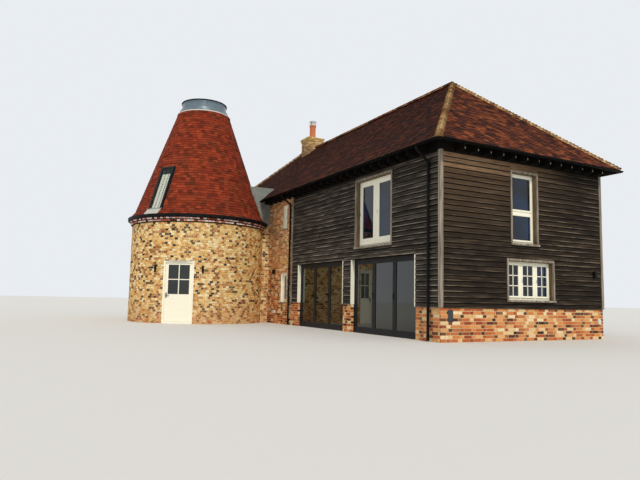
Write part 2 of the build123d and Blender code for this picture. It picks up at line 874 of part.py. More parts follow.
# Chimney on the ridge: corbelled stack with its flue, lead apron, clay pot and cowl
with BuildPart() as chimney_stack:
    with BuildSketch(Plane((chimney_x, 0, chimney_foot))):
        Rectangle(chimney_side, chimney_side)
    extrude(amount=chimney_top - chimney_foot)
    with BuildSketch(Plane((chimney_x, 0, chimney_top - chimney_corbel_height))):
        Rectangle(chimney_side + 2 * chimney_corbel, chimney_side + 2 * chimney_corbel)
    extrude(amount=chimney_corbel_height / 2)
    with BuildSketch(Plane((chimney_x, 0, chimney_top - chimney_corbel_height / 2))):
        Rectangle(chimney_side + 4 * chimney_corbel, chimney_side + 4 * chimney_corbel)
    extrude(amount=chimney_corbel_height / 2)
    with BuildSketch(Plane((chimney_x, 0, chimney_foot))):
        Rectangle(flue_side, flue_side)
    extrude(amount=chimney_top - chimney_foot, mode=Mode.SUBTRACT)
chimney_stack.part.label = "chimney_stack"

with BuildPart() as chimney_apron:
    with BuildSketch(Plane((chimney_x, 0, chimney_foot))):
        Rectangle(chimney_side + 2 * flashing_reach, chimney_side + 2 * flashing_reach)
        Rectangle(chimney_side, chimney_side, mode=Mode.SUBTRACT)
    extrude(amount=chimney_top - chimney_foot)
    add(hipped_body(-chimney_flashing), mode=Mode.INTERSECT)
    add(roof_outside, mode=Mode.SUBTRACT)
    add(ridge_tiles.part, mode=Mode.SUBTRACT)
chimney_apron.part.label = "chimney_apron"

pot_top = chimney_top + pot_height
with BuildPart() as chimney_pot:
    with BuildSketch(Plane((chimney_x, 0, chimney_top))):
        RegularPolygon(pot_radius, pot_sides)
    extrude(amount=pot_height)
    with BuildSketch(Plane((chimney_x, 0, pot_top - pot_band_height))):
        RegularPolygon(pot_radius + pot_band, pot_sides)
    extrude(amount=pot_band_height)
    with BuildSketch(Plane((chimney_x, 0, chimney_top))):
        RegularPolygon(pot_radius - pot_wall, pot_sides)
    extrude(amount=pot_height, mode=Mode.SUBTRACT)
chimney_pot.part.label = "chimney_pot"

strap_width, strap_thickness = cowl_strap
with BuildPart() as chimney_cowl:
    with BuildSketch(Plane((chimney_x, 0, pot_top + cowl_height - cowl_cap))):
        RegularPolygon(cowl_radius, pot_sides)
    extrude(amount=cowl_cap)
    with BuildSketch(Plane((chimney_x, 0, pot_top - cowl_clasp))):
        with PolarLocations(pot_radius + pot_band + strap_thickness / 2, 4):
            Rectangle(strap_thickness, strap_width)
    extrude(amount=cowl_clasp + cowl_height - cowl_cap)
chimney_cowl.part.label = "chimney_cowl"


# Round kiln wall in alternating segments, with the doorway cut between the first and the last
doorway = kiln_front(door_angle, 0)


def kiln_wall_part(first_angle):
    """Every second segment of the round wall, beginning at the given angle."""
    with BuildPart() as ring:
        with BuildSketch(kiln_level(0)):
            kiln_outline(kiln_radius, door_angle)
            kiln_outline(kiln_inner_radius, door_angle, Mode.SUBTRACT)
        extrude(amount=kiln_wall_top)
        add(kiln_wedges(first_angle), mode=Mode.INTERSECT)
        with BuildSketch(doorway):
            Rectangle(door_frame_width, kiln_wall_top, align=upwards)
        extrude(amount=kiln_radius, mode=Mode.SUBTRACT)
    return ring.part


kiln_wall_a = kiln_wall_part(door_angle)
kiln_wall_b = kiln_wall_part(door_angle + segment_angle)
kiln_wall_a.label = "kiln_wall_a"
kiln_wall_b.label = "kiln_wall_b"

with BuildPart() as kiln_door_head:
    with BuildSketch(kiln_level(door_frame_height)):
        kiln_outline(kiln_radius, door_angle)
        kiln_outline(kiln_inner_radius, door_angle, Mode.SUBTRACT)
    extrude(amount=kiln_wall_top - door_frame_height)
    with BuildSketch(doorway):
        Rectangle(door_frame_width, kiln_wall_top, align=upwards)
    extrude(amount=kiln_radius, mode=Mode.INTERSECT)
kiln_door_head.part.label = "kiln_door_head"

# Short walls that fill the gap between the kiln and the barn
with BuildPart() as link_walls:
    with BuildSketch(Plane.XY):
        for side in (-1, 1):
            with Locations((kiln_x + side * (link_half_width - link_wall / 2), (kiln_y - half_width) / 2)):
                Rectangle(link_wall, -half_width - kiln_y)
    extrude(amount=link_wall_top)
    add(kiln_outside.part, mode=Mode.SUBTRACT)
link_walls.part.label = "link_walls"

# Oversailing brick courses under the kiln eaves
corbel_foot = kiln_wall_top - corbel_courses * corbel_course
with BuildPart() as kiln_corbels:
    for course in range(corbel_courses):
        with BuildSketch(kiln_level(corbel_foot + course * corbel_course)):
            kiln_outline(fascia_radius - (corbel_courses - 1 - course) * corbel_step, door_angle)
            kiln_outline(kiln_radius, door_angle, Mode.SUBTRACT)
        extrude(amount=corbel_course)
    add(link_space, mode=Mode.SUBTRACT)
kiln_corbels.part.label = "kiln_corbels"

# Kiln roof: a truncated cone of narrow flats, kicked out at the eaves, in alternating segments
window_centre = (kiln_kick_radius - (roof_window_z - kiln_kick_z) * kiln_slope) * flat_ratio
window_plane = kiln_front(roof_window_angle, window_centre, kiln_lean)
window_plane.origin = window_plane.origin + Vector(0, 0, roof_window_z)
ceiling_offset = kiln_roof_thickness / cos(kiln_lean)
ceiling_foot = kiln_kick_radius + (kiln_kick_z - kiln_wall_top) * kiln_slope - ceiling_offset


def kiln_roof_part(first_angle):
    """Every second segment of the kiln roof, beginning at the given angle."""
    with BuildPart() as ring:
        add(kiln_roof_outside)
        with BuildSketch(kiln_level(kiln_wall_top)):
            kiln_outline(ceiling_foot, roof_turn)
        extrude(amount=kiln_roof_top - kiln_wall_top, taper=degrees(kiln_lean), mode=Mode.SUBTRACT)
        add(kiln_wedges(first_angle), mode=Mode.INTERSECT)
        with BuildSketch(window_plane.offset(-2 * kiln_roof_thickness)):
            Rectangle(roof_window_width, roof_window_length)
        extrude(amount=4 * kiln_roof_thickness, mode=Mode.SUBTRACT)
        add(barn_side, mode=Mode.SUBTRACT)
    return ring.part


kiln_roof_a = kiln_roof_part(roof_turn)
kiln_roof_b = kiln_roof_part(roof_turn + segment_angle)
kiln_roof_a.label = "kiln_roof_a"
kiln_roof_b.label = "kiln_roof_b"

kiln_gutter_foot = kiln_eave_z - kiln_gutter_below - kiln_gutter_depth
with BuildPart() as kiln_gutter:
    with BuildSketch(kiln_level(kiln_gutter_foot)):
        kiln_outline(fascia_radius + kiln_gutter_width, roof_turn)
        kiln_outline(fascia_radius, roof_turn, Mode.SUBTRACT)
    extrude(amount=kiln_gutter_depth)
    with BuildSketch(kiln_level(kiln_gutter_foot + gutter_wall)):
        kiln_outline(fascia_radius + kiln_gutter_width - gutter_wall, roof_turn)
        kiln_outline(fascia_radius + gutter_wall, roof_turn, Mode.SUBTRACT)
    extrude(amount=kiln_gutter_depth - gutter_wall, mode=Mode.SUBTRACT)
    add(link_space, mode=Mode.SUBTRACT)
kiln_gutter.part.label = "kiln_gutter"

# Glazed drum on top of the kiln roof
rim_radius = drum_radius + rim_overlap
drum_head = kiln_level(kiln_roof_top + drum_height)
with BuildPart() as lantern_drum:
    with BuildSketch(kiln_level(kiln_roof_top)):
        kiln_outline(drum_radius, roof_turn)
        kiln_outline(drum_radius - drum_wall, roof_turn, Mode.SUBTRACT)
    extrude(amount=drum_height)
lantern_drum.part.label = "lantern_drum"

with BuildPart() as lantern_collar:
    with BuildSketch(kiln_level(kiln_roof_top)):
        kiln_outline(drum_radius + collar_width, roof_turn)
    extrude(amount=collar_height, taper=degrees(atan(collar_width * flat_ratio / collar_height)))
    with BuildSketch(kiln_level(kiln_roof_top)):
        kiln_outline(drum_radius, roof_turn)
    extrude(amount=collar_height, mode=Mode.SUBTRACT)
lantern_collar.part.label = "lantern_collar"

with BuildPart() as lantern_rim:
    with BuildSketch(drum_head):
        kiln_outline(rim_radius, roof_turn)
        kiln_outline(rim_radius - rim_width, roof_turn, Mode.SUBTRACT)
    extrude(amount=rim_height)
lantern_rim.part.label = "lantern_rim"

with BuildPart() as lantern_glass:
    with BuildSketch(drum_head):
        kiln_outline(rim_radius - rim_width, roof_turn)
    extrude(amount=rim_height - rim_overlap / 2)
lantern_glass.part.label = "lantern_glass"

# Roof window let into the kiln roof, with its lead apron
clear_width = roof_window_width - 2 * roof_window_frame
clear_length = roof_window_length - 2 * roof_window_frame
with BuildPart() as roof_window_bars:
    with BuildSketch(window_plane.offset(-roof_window_deep)):
        Rectangle(roof_window_width, roof_window_length)
        Rectangle(clear_width, clear_length, mode=Mode.SUBTRACT)
    extrude(amount=roof_window_deep + roof_window_proud)
roof_window_bars.part.label = "roof_window_bars"

with BuildPart() as roof_window_pane:
    with BuildSketch(window_plane):
        Rectangle(clear_width, clear_length)
    extrude(amount=roof_window_glass)
roof_window_pane.part.label = "roof_window_pane"

with BuildPart() as roof_window_apron:
    with BuildSketch(window_plane.offset(-kiln_roof_thickness)):
        Rectangle(roof_window_width + 2 * flashing_side, roof_window_length + 2 * flashing_side)
        with Locations((0, -roof_window_length / 2)):
            Rectangle(
                roof_window_width + 2 * flashing_side, flashing_apron, align=(Align.CENTER, Align.MAX)
            )
        Rectangle(roof_window_width, roof_window_length, mode=Mode.SUBTRACT)
    extrude(amount=2 * kiln_roof_thickness)
    add(kiln_roof_body(roof_window_flashing), mode=Mode.INTERSECT)
    add(kiln_outside.part, mode=Mode.SUBTRACT)
roof_window_apron.part.label = "roof_window_apron"

# Lead-covered link roof on two cheeks, running from the kiln roof to the barn roof
link_back = -half_width + link_inset
with BuildPart() as lead_link:
    with BuildSketch(Plane.YZ.offset(link_sides[0])):
        with BuildLine():
            Polyline(
                (kiln_y, link_wall_top),
                (-half_width, link_wall_top),
                (-half_width, wall_head),
                (link_back, link_roof_z - roof_drop),
                (link_back, link_roof_z),
                (kiln_y, link_roof_z),
                close=True,
            )
        make_face()
    extrude(amount=2 * link_half_width)
    with BuildSketch(Plane.XY):
        with Locations((kiln_x, (kiln_y + link_back) / 2)):
            Rectangle(2 * (link_half_width - lead_wall), link_back - kiln_y)
    extrude(amount=link_roof_z - lead_wall, mode=Mode.SUBTRACT)
    add(kiln_outside.part, mode=Mode.SUBTRACT)
lead_link.part.label = "lead_link"


# Kiln door: fixed frame with stops, and a leaf that swings inwards on three butt hinges
frame_front = kiln_front(door_angle, door_front)
frame_back = frame_front.offset(-door_frame_depth)
rebate = frame_front.offset(-door_stop_depth)
leaf_front = frame_back.offset(door_leaf)
with BuildPart() as kiln_door_frame:
    with BuildSketch(frame_front):
        Rectangle(door_frame_width, door_frame_height, align=upwards)
    extrude(amount=-door_frame_depth)
    with BuildSketch(frame_front):
        with Locations((0, door_threshold)):
            Rectangle(
                door_frame_width - 2 * (door_frame_bar + door_stop),
                door_frame_height - door_threshold - door_frame_bar - door_stop,
                align=upwards,
            )
    extrude(amount=-door_frame_depth, mode=Mode.SUBTRACT)
    with BuildSketch(rebate):
        with Locations((0, door_threshold)):
            Rectangle(
                door_frame_width - 2 * door_frame_bar,
                door_frame_height - door_threshold - door_frame_bar,
                align=upwards,
            )
    extrude(amount=door_stop_depth - door_frame_depth, mode=Mode.SUBTRACT)
kiln_door_frame.part.label = "kiln_door_frame"

pane_wide = (door_glass_width - door_bar) / 2
pane_high = (door_glass_head - door_glass_foot - door_bar) / 2
pane_middle = (door_glass_head + door_glass_foot) / 2
with BuildPart() as kiln_door_leaf:
    with BuildSketch(leaf_front):
        with Locations((0, leaf_foot)):
            Rectangle(leaf_width, leaf_head - leaf_foot, align=upwards)
        with Locations((0, pane_middle)):
            with GridLocations(pane_wide + door_bar, pane_high + door_bar, 2, 2):
                Rectangle(pane_wide, pane_high, mode=Mode.SUBTRACT)
    extrude(amount=-door_leaf)
kiln_door_leaf.part.label = "kiln_door_leaf"

with BuildPart() as kiln_door_glass:
    with BuildSketch(leaf_front.offset(-(door_leaf - door_pane) / 2)):
        with Locations((0, pane_middle)):
            with GridLocations(pane_wide + door_bar, pane_high + door_bar, 2, 2):
                Rectangle(pane_wide, pane_high)
    extrude(amount=-door_pane)
kiln_door_glass.part.label = "kiln_door_glass"

handle_x = handle_from_edge - leaf_width / 2
with BuildPart() as kiln_door_handles:
    for face, outwards in ((leaf_front, 1), (frame_back, -1)):
        plate_width, plate_height, plate_depth = handle_plate
        with BuildSketch(face):
            with Locations((handle_x, handle_height)):
                Rectangle(plate_width, plate_height)
        extrude(amount=outwards * plate_depth)
        with BuildSketch(face):
            with Locations((handle_x, handle_height)):
                Circle(handle_radius)
        extrude(amount=outwards * handle_reach)
        with BuildSketch(face.offset(outwards * (handle_reach - 2 * handle_radius))):
            with Locations((handle_x - handle_radius, handle_height)):
                Rectangle(handle_length, 2 * handle_radius, align=(Align.MIN, Align.CENTER))
        extrude(amount=outwards * 2 * handle_radius)
kiln_door_handles.part.label = "kiln_door_handles"

# Butt hinges: the outer knuckles and the pin stay with the frame, the middle knuckle swings
knuckle_length = hinge_length / 3
with BuildPart() as kiln_hinge_pins:
    for height in hinge_heights:
        for step in (-1, 1):
            knuckle_middle = height + step * knuckle_length
            with BuildSketch(frame_back):
                with Locations((pin_x, knuckle_middle)):
                    Rectangle(hinge_plate_width, knuckle_length, align=(Align.MIN, Align.CENTER))
            extrude(amount=-hinge_plate)
        pin_foot = frame_back.from_local_coords(Vector(pin_x, height - hinge_length / 2, -pin_offset))
        with BuildSketch(Plane(pin_foot)):
            Circle(knuckle_radius)
        extrude(amount=hinge_length)
        with BuildSketch(Plane(pin_foot + Vector(0, 0, knuckle_length))):
            Circle(knuckle_radius)
            Circle(pin_radius, mode=Mode.SUBTRACT)
        extrude(amount=knuckle_length, mode=Mode.SUBTRACT)
kiln_hinge_pins.part.label = "kiln_hinge_pins"

with BuildPart() as kiln_hinge_leaves:
    for height in hinge_heights:
        swing_length = knuckle_length - 2 * knuckle_gap
        with BuildSketch(frame_back):
            with Locations((pin_x, height)):
                Rectangle(hinge_plate_width, swing_length, align=(Align.MAX, Align.CENTER))
        extrude(amount=-hinge_plate)
        swing_foot = frame_back.from_local_coords(Vector(pin_x, height - swing_length / 2, -pin_offset))
        with BuildSketch(Plane(swing_foot)):
            Circle(knuckle_radius)
        extrude(amount=swing_length)
        with BuildSketch(Plane(swing_foot)):
            Circle(pin_radius + pin_fit)
        extrude(amount=swing_length, mode=Mode.SUBTRACT)
kiln_hinge_leaves.part.label = "kiln_hinge_leaves"

# Small fittings on the walls
light_angle = degrees(asin(light_offset / kiln_radius))
with BuildPart() as wall_lights:
    for side in (-1, 1):
        light_wall = kiln_front(door_angle + side * light_angle, kiln_radius)
        with BuildSketch(light_wall):
            with Locations((0, light_z)):
                Rectangle(light_radius, light_radius)
        extrude(amount=light_arm, both=True)
        light_out = light_arm + light_radius / 2
        light_foot = light_wall.from_local_coords(Vector(0, light_z - light_height / 2, light_out))
        with BuildSketch(Plane(light_foot)):
            Circle(light_radius)
        extrude(amount=light_height)
    for face, middle, height in (
        (near_face, half_width - end_lamp_from_rear, end_lamp_z),
        (front_face, front_share(front_lamp_share), front_lamp_z),
    ):
        with BuildSketch(face):
            with Locations((middle, height)):
                Rectangle(*lamp_size[:2])
        extrude(amount=lamp_size[2])
    add(kiln_outside.part, mode=Mode.SUBTRACT)
wall_lights.part.label = "wall_lights"

with BuildPart() as house_plate:
    with BuildSketch(near_face):
        with Locations((plate_from_corner - half_width, plate_z)):
            Rectangle(*plate_size[:2])
    extrude(amount=plate_size[2])
house_plate.part.label = "house_plate"

with BuildPart() as outlet_boxes:
    for face, middle, height in (
        (near_face, half_width - end_box_from_rear, end_box_z),
        (front_face, front_share(front_box_share), front_box_z),
    ):
        with BuildSketch(face):
            with Locations((middle, height)):
                Rectangle(*box_size[:2])
        extrude(amount=box_size[2])
outlet_boxes.part.label = "outlet_boxes"

os.makedirs("parts", exist_ok=True)
export_step(ground_floors.part, "parts/ground_floors.step")
export_step(upper_floor.part, "parts/upper_floor.step")
export_step(end_plinth.part, "parts/end_plinth.step")
export_step(side_plinths.part, "parts/side_plinths.step")
export_step(front_boarded_wall.part, "parts/front_boarded_wall.step")
export_step(end_boarded_wall.part, "parts/end_boarded_wall.step")
export_step(rear_boarded_wall.part, "parts/rear_boarded_wall.step")
export_step(front_brick_wall.part, "parts/front_brick_wall.step")
export_step(window_arch.part, "parts/window_arch.step")
export_step(rear_brick_wall.part, "parts/rear_brick_wall.step")
export_step(far_end_wall.part, "parts/far_end_wall.step")
export_step(corner_boards.part, "parts/corner_boards.step")
export_step(roof_front, "parts/roof_front.step")
export_step(roof_rear, "parts/roof_rear.step")
export_step(roof_hips, "parts/roof_hips.step")
export_step(ridge_tiles.part, "parts/ridge_tiles.step")
export_step(hip_tiles.part, "parts/hip_tiles.step")
export_step(rafter_feet.part, "parts/rafter_feet.step")
export_step(barn_gutters.part, "parts/barn_gutters.step")
export_step(downpipes.part, "parts/downpipes.step")
export_step(casement_frames.part, "parts/casement_frames.step")
export_step(casement_sashes.part, "parts/casement_sashes.step")
export_step(casement_glass.part, "parts/casement_glass.step")
export_step(window_surrounds.part, "parts/window_surrounds.step")
export_step(window_sills.part, "parts/window_sills.step")
export_step(folding_frames.part, "parts/folding_frames.step")
export_step(folding_leaves.part, "parts/folding_leaves.step")
export_step(folding_glass.part, "parts/folding_glass.step")
export_step(door_linings.part, "parts/door_linings.step")
export_step(chimney_stack.part, "parts/chimney_stack.step")
export_step(chimney_apron.part, "parts/chimney_apron.step")
export_step(chimney_pot.part, "parts/chimney_pot.step")
export_step(chimney_cowl.part, "parts/chimney_cowl.step")
export_step(kiln_wall_a, "parts/kiln_wall_a.step")
export_step(kiln_wall_b, "parts/kiln_wall_b.step")
export_step(kiln_door_head.part, "parts/kiln_door_head.step")
export_step(link_walls.part, "parts/link_walls.step")
export_step(kiln_corbels.part, "parts/kiln_corbels.step")
export_step(kiln_roof_a, "parts/kiln_roof_a.step")
export_step(kiln_roof_b, "parts/kiln_roof_b.step")
export_step(kiln_gutter.part, "parts/kiln_gutter.step")
export_step(lantern_drum.part, "parts/lantern_drum.step")
export_step(lantern_collar.part, "parts/lantern_collar.step")
export_step(lantern_rim.part, "parts/lantern_rim.step")
export_step(lantern_glass.part, "parts/lantern_glass.step")
export_step(roof_window_bars.part, "parts/roof_window_bars.step")
export_step(roof_window_pane.part, "parts/roof_window_pane.step")
export_step(roof_window_apron.part, "parts/roof_window_apron.step")
export_step(lead_link.part, "parts/lead_link.step")
export_step(kiln_door_frame.part, "parts/kiln_door_frame.step")
export_step(kiln_door_leaf.part, "parts/kiln_door_leaf.step")
export_step(kiln_door_glass.part, "parts/kiln_door_glass.step")
export_step(kiln_door_handles.part, "parts/kiln_door_handles.step")
export_step(kiln_hinge_pins.part, "parts/kiln_hinge_pins.step")
export_step(kiln_hinge_leaves.part, "parts/kiln_hinge_leaves.step")
export_step(wall_lights.part, "parts/wall_lights.step")
export_step(house_plate.part, "parts/house_plate.step")
export_step(outlet_boxes.part, "parts/outlet_boxes.step")
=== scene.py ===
"""Looks of the converted oast house: bricks, tiles, boards, leadwork, joinery and their finishes.

Metres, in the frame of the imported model: X along the barn to its boarded end, front wall towards -Y.
"""

import functools
import math
import random

import bmesh
import bpy
from bpy.props import FloatProperty, FloatVectorProperty, PointerProperty
from mathutils import Matrix, Vector


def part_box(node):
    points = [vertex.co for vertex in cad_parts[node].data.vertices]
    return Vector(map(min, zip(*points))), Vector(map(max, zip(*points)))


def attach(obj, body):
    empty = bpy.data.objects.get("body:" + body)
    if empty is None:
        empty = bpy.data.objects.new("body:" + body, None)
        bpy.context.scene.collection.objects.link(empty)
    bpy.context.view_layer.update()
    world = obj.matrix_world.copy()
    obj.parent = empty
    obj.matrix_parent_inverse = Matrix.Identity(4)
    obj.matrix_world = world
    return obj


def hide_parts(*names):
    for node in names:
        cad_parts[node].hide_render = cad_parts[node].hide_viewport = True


bl_info = {
    "name": "Oast house finishes",
    "version": (1, 0, 0),
    "blender": (4, 5, 0),
    "location": "3D View > Sidebar > Oast",
    "description": "Dresses the packed oast house with bricks, tiles, boards and fittings",
    "category": "Object",
}

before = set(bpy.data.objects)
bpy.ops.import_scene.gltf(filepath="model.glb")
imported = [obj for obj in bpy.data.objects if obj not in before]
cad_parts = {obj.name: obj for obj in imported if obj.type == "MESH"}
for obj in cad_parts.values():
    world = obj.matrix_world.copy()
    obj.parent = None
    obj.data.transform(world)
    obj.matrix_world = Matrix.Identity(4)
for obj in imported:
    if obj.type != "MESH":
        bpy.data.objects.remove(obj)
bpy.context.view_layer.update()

HOUSE = "building"
DOOR = "kiln_door"
MM = 0.001
X, Y, UP = Vector((1, 0, 0)), Vector((0, 1, 0)), Vector((0, 0, 1))


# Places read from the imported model

def corners(node):
    """Lowest and highest corners of a CAD node."""
    return [Vector(corner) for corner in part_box(node)]


HALF_LENGTH, HALF_WIDTH, PLINTH_TOP = corners("end_plinth")[1]
FAR_X = corners("far_end_wall")[0].x
JOINT_X = corners("front_brick_wall")[1].x
ROOF_X, _, RIDGE_Z = corners("roof_front")[1]
EAVES_Y = -corners("roof_front")[0].y
PITCH = math.radians(42)
EAVES_Z = RIDGE_Z - EAVES_Y * math.tan(PITCH)
HIP_X = ROOF_X - EAVES_Y
STACK_LOW, STACK_HIGH = corners("chimney_stack")
DRUM_LOW, DRUM_HIGH = corners("lantern_drum")
KILN = (DRUM_LOW + DRUM_HIGH) / 2
DRUM_FOOT, DRUM_TOP = DRUM_LOW.z, DRUM_HIGH.z
DRUM_RADIUS = (DRUM_HIGH.x - DRUM_LOW.x) / 2
WALL_TOP = corners("kiln_corbels")[1].z
LINK_X = [corner.x for corner in corners("link_walls")]
LINK_WALL_TOP = corners("link_walls")[1].z
LINK_BACK, LINK_TOP = corners("lead_link")[1].yz
# Kiln: radius of its wall, half the width of its doorway, and where door and roof window stand
KILN_RADIUS = 2.39
DOOR_HALF = 0.52
DOOR_ANGLE = math.radians(-31.3)
WINDOW_ANGLE = math.radians(-56.8)
# Kiln roof: distance from the axis and height at the eaves, at the kick and at the top
ROOF_PROFILE = ((2.49, 3.65), (2.31, 3.86), (0.885, DRUM_FOOT))
# Zinc reaches down over the top of the roof as far as this, and the tiles stop there
SKIRT_FOOT = DRUM_FOOT - 155 * MM
# Trim at the end of a boarded wall, where brick or the next wall starts
TRIM_WIDTH = 85 * MM

# Wall faces: a point on the face, the direction along it, the direction out of it
FRONT = (Y * -HALF_WIDTH, X, -Y)
REAR = (Y * HALF_WIDTH, -X, Y)
NEAR = (X * HALF_LENGTH, Y, X)
FAR = (X * FAR_X, -Y, -X)


@functools.cache
def islands(node):
    """Lowest and highest corners of each separate solid in a CAD node."""
    bm = bmesh.new()
    bm.from_mesh(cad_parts[node].data)
    bmesh.ops.remove_doubles(bm, verts=bm.verts, dist=0.01 * MM)
    left = set(bm.verts)
    boxes = []
    for start in bm.verts:
        if start not in left:
            continue
        left.discard(start)
        reached = [start]
        for vert in reached:
            for edge in vert.link_edges:
                other = edge.other_vert(vert)
                if other in left:
                    left.discard(other)
                    reached.append(other)
        spots = [vert.co for vert in reached]
        boxes.append([Vector([pick(spot[axis] for spot in spots) for axis in range(3)])
                      for pick in (min, max)])
    bm.free()
    return boxes


def on_face(face, box):
    """Rectangle (left, right, foot, head) of a box seen square on to a wall face."""
    origin, along, _ = face
    left, right = sorted((corner - origin).dot(along) for corner in box)
    return left, right, box[0].z, box[1].z


def seen_on(face, node, reach=0.25):
    """Solids of a node that stand at a wall face: box, rectangle on the face and how far out it comes."""
    origin, _, out = face
    for box in islands(node):
        if abs(((box[0] + box[1]) / 2 - origin).dot(out)) < reach:
            yield box, on_face(face, box), max((corner - origin).dot(out) for corner in box)


def rectangles(face, *nodes):
    """Rectangles of some nodes' solids on a wall face."""
    return [rect for node in nodes for _, rect, _ in seen_on(face, node)]


def radial(angle):
    """Directions along, up and out at an angle round the kiln."""
    out = Vector((math.cos(angle), math.sin(angle), 0))
    return Vector((-out.y, out.x, 0)), UP, out


def kiln_point(angle, distance, height):
    """Point at an angle round the kiln and a distance from its axis."""
    return Vector((KILN.x + distance * math.cos(angle), KILN.y + distance * math.sin(angle), height))


def cone_radius(height):
    """Distance of the kiln roof from its axis above the kick."""
    (kick, kick_z), (top, top_z) = ROOF_PROFILE[1:]
    return kick + (top - kick) * (height - kick_z) / (top_z - kick_z)


# Making meshes

def new_piece():
    """Empty mesh under way, with the shade value and the grain that its finish reads."""
    bm = bmesh.new()
    bm.verts.layers.float.new("shade")
    bm.loops.layers.uv.new("grain")
    return bm


def gather(bm, row):
    """Adds a finished row to its piece; operators slow down as the mesh they work on grows."""
    mesh = bpy.data.meshes.new("row")
    row.to_mesh(mesh)
    row.free()
    bm.from_mesh(mesh)
    bpy.data.meshes.remove(mesh)


def slab(bm, middle, axes, size, shade=0.5, grain=False):
    """Adds a six-sided piece; axes are its directions along, up and out.

    With grain, its UV runs in metres along the piece and up from its foot.
    """
    matrix = Matrix([axis * length for axis, length in zip(axes, size)]).transposed().to_4x4()
    matrix.translation = middle
    made = bmesh.ops.create_cube(bm, size=1.0, matrix=matrix)["verts"]
    layer, uv = bm.verts.layers.float["shade"], bm.loops.layers.uv["grain"]
    for vert in made:
        vert[layer] = shade
        for loop in vert.link_loops if grain else ():
            spot = vert.co - middle
            loop[uv].uv = (spot.dot(axes[0]) + 97.0 * shade, spot.dot(axes[1]) + size[1] / 2)


def block(bm, lowest, highest):
    """Adds a box between two corners."""
    lowest, highest = Vector(lowest), Vector(highest)
    slab(bm, (lowest + highest) / 2, (X, Y, UP), highest - lowest)


def face_point(face, rect, lift):
    """Middle of a rectangle of a wall face, at a distance out of it."""
    origin, along, out = face
    left, right, foot, head = rect
    return origin + along * (left + right) / 2 + UP * (foot + head) / 2 + out * lift


def panel(bm, face, rect, back, front, shade=0.5):
    """Adds a slab over a rectangle of a wall face, from one distance out of it to another."""
    left, right, foot, head = rect
    size = (right - left, head - foot, front - back)
    slab(bm, face_point(face, rect, (back + front) / 2), (face[1], UP, face[2]), size, shade)


def turned(bm, profile, steps=128, start=0.0, angle=math.tau):
    """Adds a shape turned about the kiln's axis from a closed profile of distances and heights."""
    verts = [bm.verts.new(kiln_point(start, out, rise)) for out, rise in profile]
    edges = [bm.edges.new(pair) for pair in zip(verts, verts[1:] + verts[:1])]
    full = angle == math.tau
    caps = [] if full else bmesh.ops.contextual_create(bm, geom=verts)["faces"]
    bmesh.ops.spin(bm, geom=verts + edges + caps, cent=(KILN.x, KILN.y, 0), axis=UP, angle=angle,
                   steps=steps, use_merge=full)
    if full:
        bmesh.ops.remove_doubles(bm, verts=bm.verts, dist=0.01 * MM)


def pipe(bm, route, radius, sides=20):
    """Adds a round pipe with mitred bends along a list of points."""
    ways = [(after - before).normalized() for before, after in zip(route, route[1:])]
    rings = []
    for spot, before, after in zip(route, ways[:1] + ways, ways + ways[-1:]):
        run = (before + after).normalized()
        side = X if abs(run.x) < 0.9 else Y
        side = (side - run * side.dot(run)).normalized()
        stretched = run.cross(side) / max(0.2, run.dot(before))
        matrix = Matrix((side, stretched, run)).transposed().to_4x4()
        matrix.translation = spot
        ring = bmesh.ops.create_circle(bm, segments=sides, radius=radius, matrix=matrix)["verts"]
        rings.append((ring, list(dict.fromkeys(edge for vert in ring for edge in vert.link_edges))))
    for (_, first), (_, second) in zip(rings, rings[1:]):
        bmesh.ops.bridge_loops(bm, edges=first + second)
    for ring, _ in (rings[0], rings[-1]):
        bmesh.ops.contextual_create(bm, geom=ring)


def half_tube(bm, start, end, out, radius, narrow, shade=0.5, steps=8, wall=12 * MM):
    """Adds a half-round shell, its back towards out, from its wide end at start to its narrow end."""
    side = (end - start).cross(out).normalized()
    turns = [math.pi * step / steps for step in range(steps + 1)]
    layer = bm.verts.layers.float["shade"]
    rings, edges = [], []
    for spot, size in ((start, radius), (end, narrow)):
        arc = [(turn, size) for turn in turns] + [(turn, size - wall) for turn in reversed(turns)]
        ring = [bm.verts.new(spot + side * math.cos(turn) * reach + out * math.sin(turn) * reach)
                for turn, reach in arc]
        edges += [bm.edges.new(pair) for pair in zip(ring, ring[1:] + ring[:1])]
        rings.append(ring)
    bmesh.ops.bridge_loops(bm, edges=edges)
    for ring in rings:
        bmesh.ops.contextual_create(bm, geom=ring)
        for vert in ring:
            vert[layer] = shade


def finish_piece(bm, name, finish, replaces=(), smooth=0, body=HOUSE):
    """Turns a mesh under way into a piece that rides on its body; smooth is in degrees."""
    bmesh.ops.recalc_face_normals(bm, faces=bm.faces)
    mesh = bpy.data.meshes.new(name)
    bm.to_mesh(mesh)
    bm.free()
    mesh.materials.append(finish)
    if smooth:
        mesh.shade_smooth()
        mesh.set_sharp_from_angle(angle=math.radians(smooth))
    piece = bpy.data.objects.new(name, mesh)
    bpy.context.scene.collection.objects.link(piece)
    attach(piece, body)
    if replaces:
        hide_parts(*replaces)


# Shortest bit of brick that is laid
LEAST = 15 * MM


def without(rects, holes, least=LEAST):
    """Cuts holes out of rectangles (left, right, foot, head) and drops what is too small to lay."""
    for left, right, foot, head in holes:
        kept = []
        for a, b, c, d in rects:
            if b <= left or a >= right or d <= foot or c >= head:
                kept.append((a, b, c, d))
                continue
            kept.append((a, min(b, left), c, d))
            kept.append((max(a, right), b, c, d))
            kept.append((max(a, left), min(b, right), c, min(d, foot)))
            kept.append((max(a, left), min(b, right), max(c, head), d))
        rects = [rect for rect in kept if rect[1] - rect[0] > least and rect[3] - rect[2] > least]
    return rects


# Materials

def hex_colour(code):
    """Linear colour of an sRGB hex code."""
    parts = [int(code[place:place + 2], 16) / 255 for place in (1, 3, 5)]
    return [p / 12.92 if p <= 0.04045 else ((p + 0.055) / 1.055) ** 2.4 for p in parts] + [1.0]


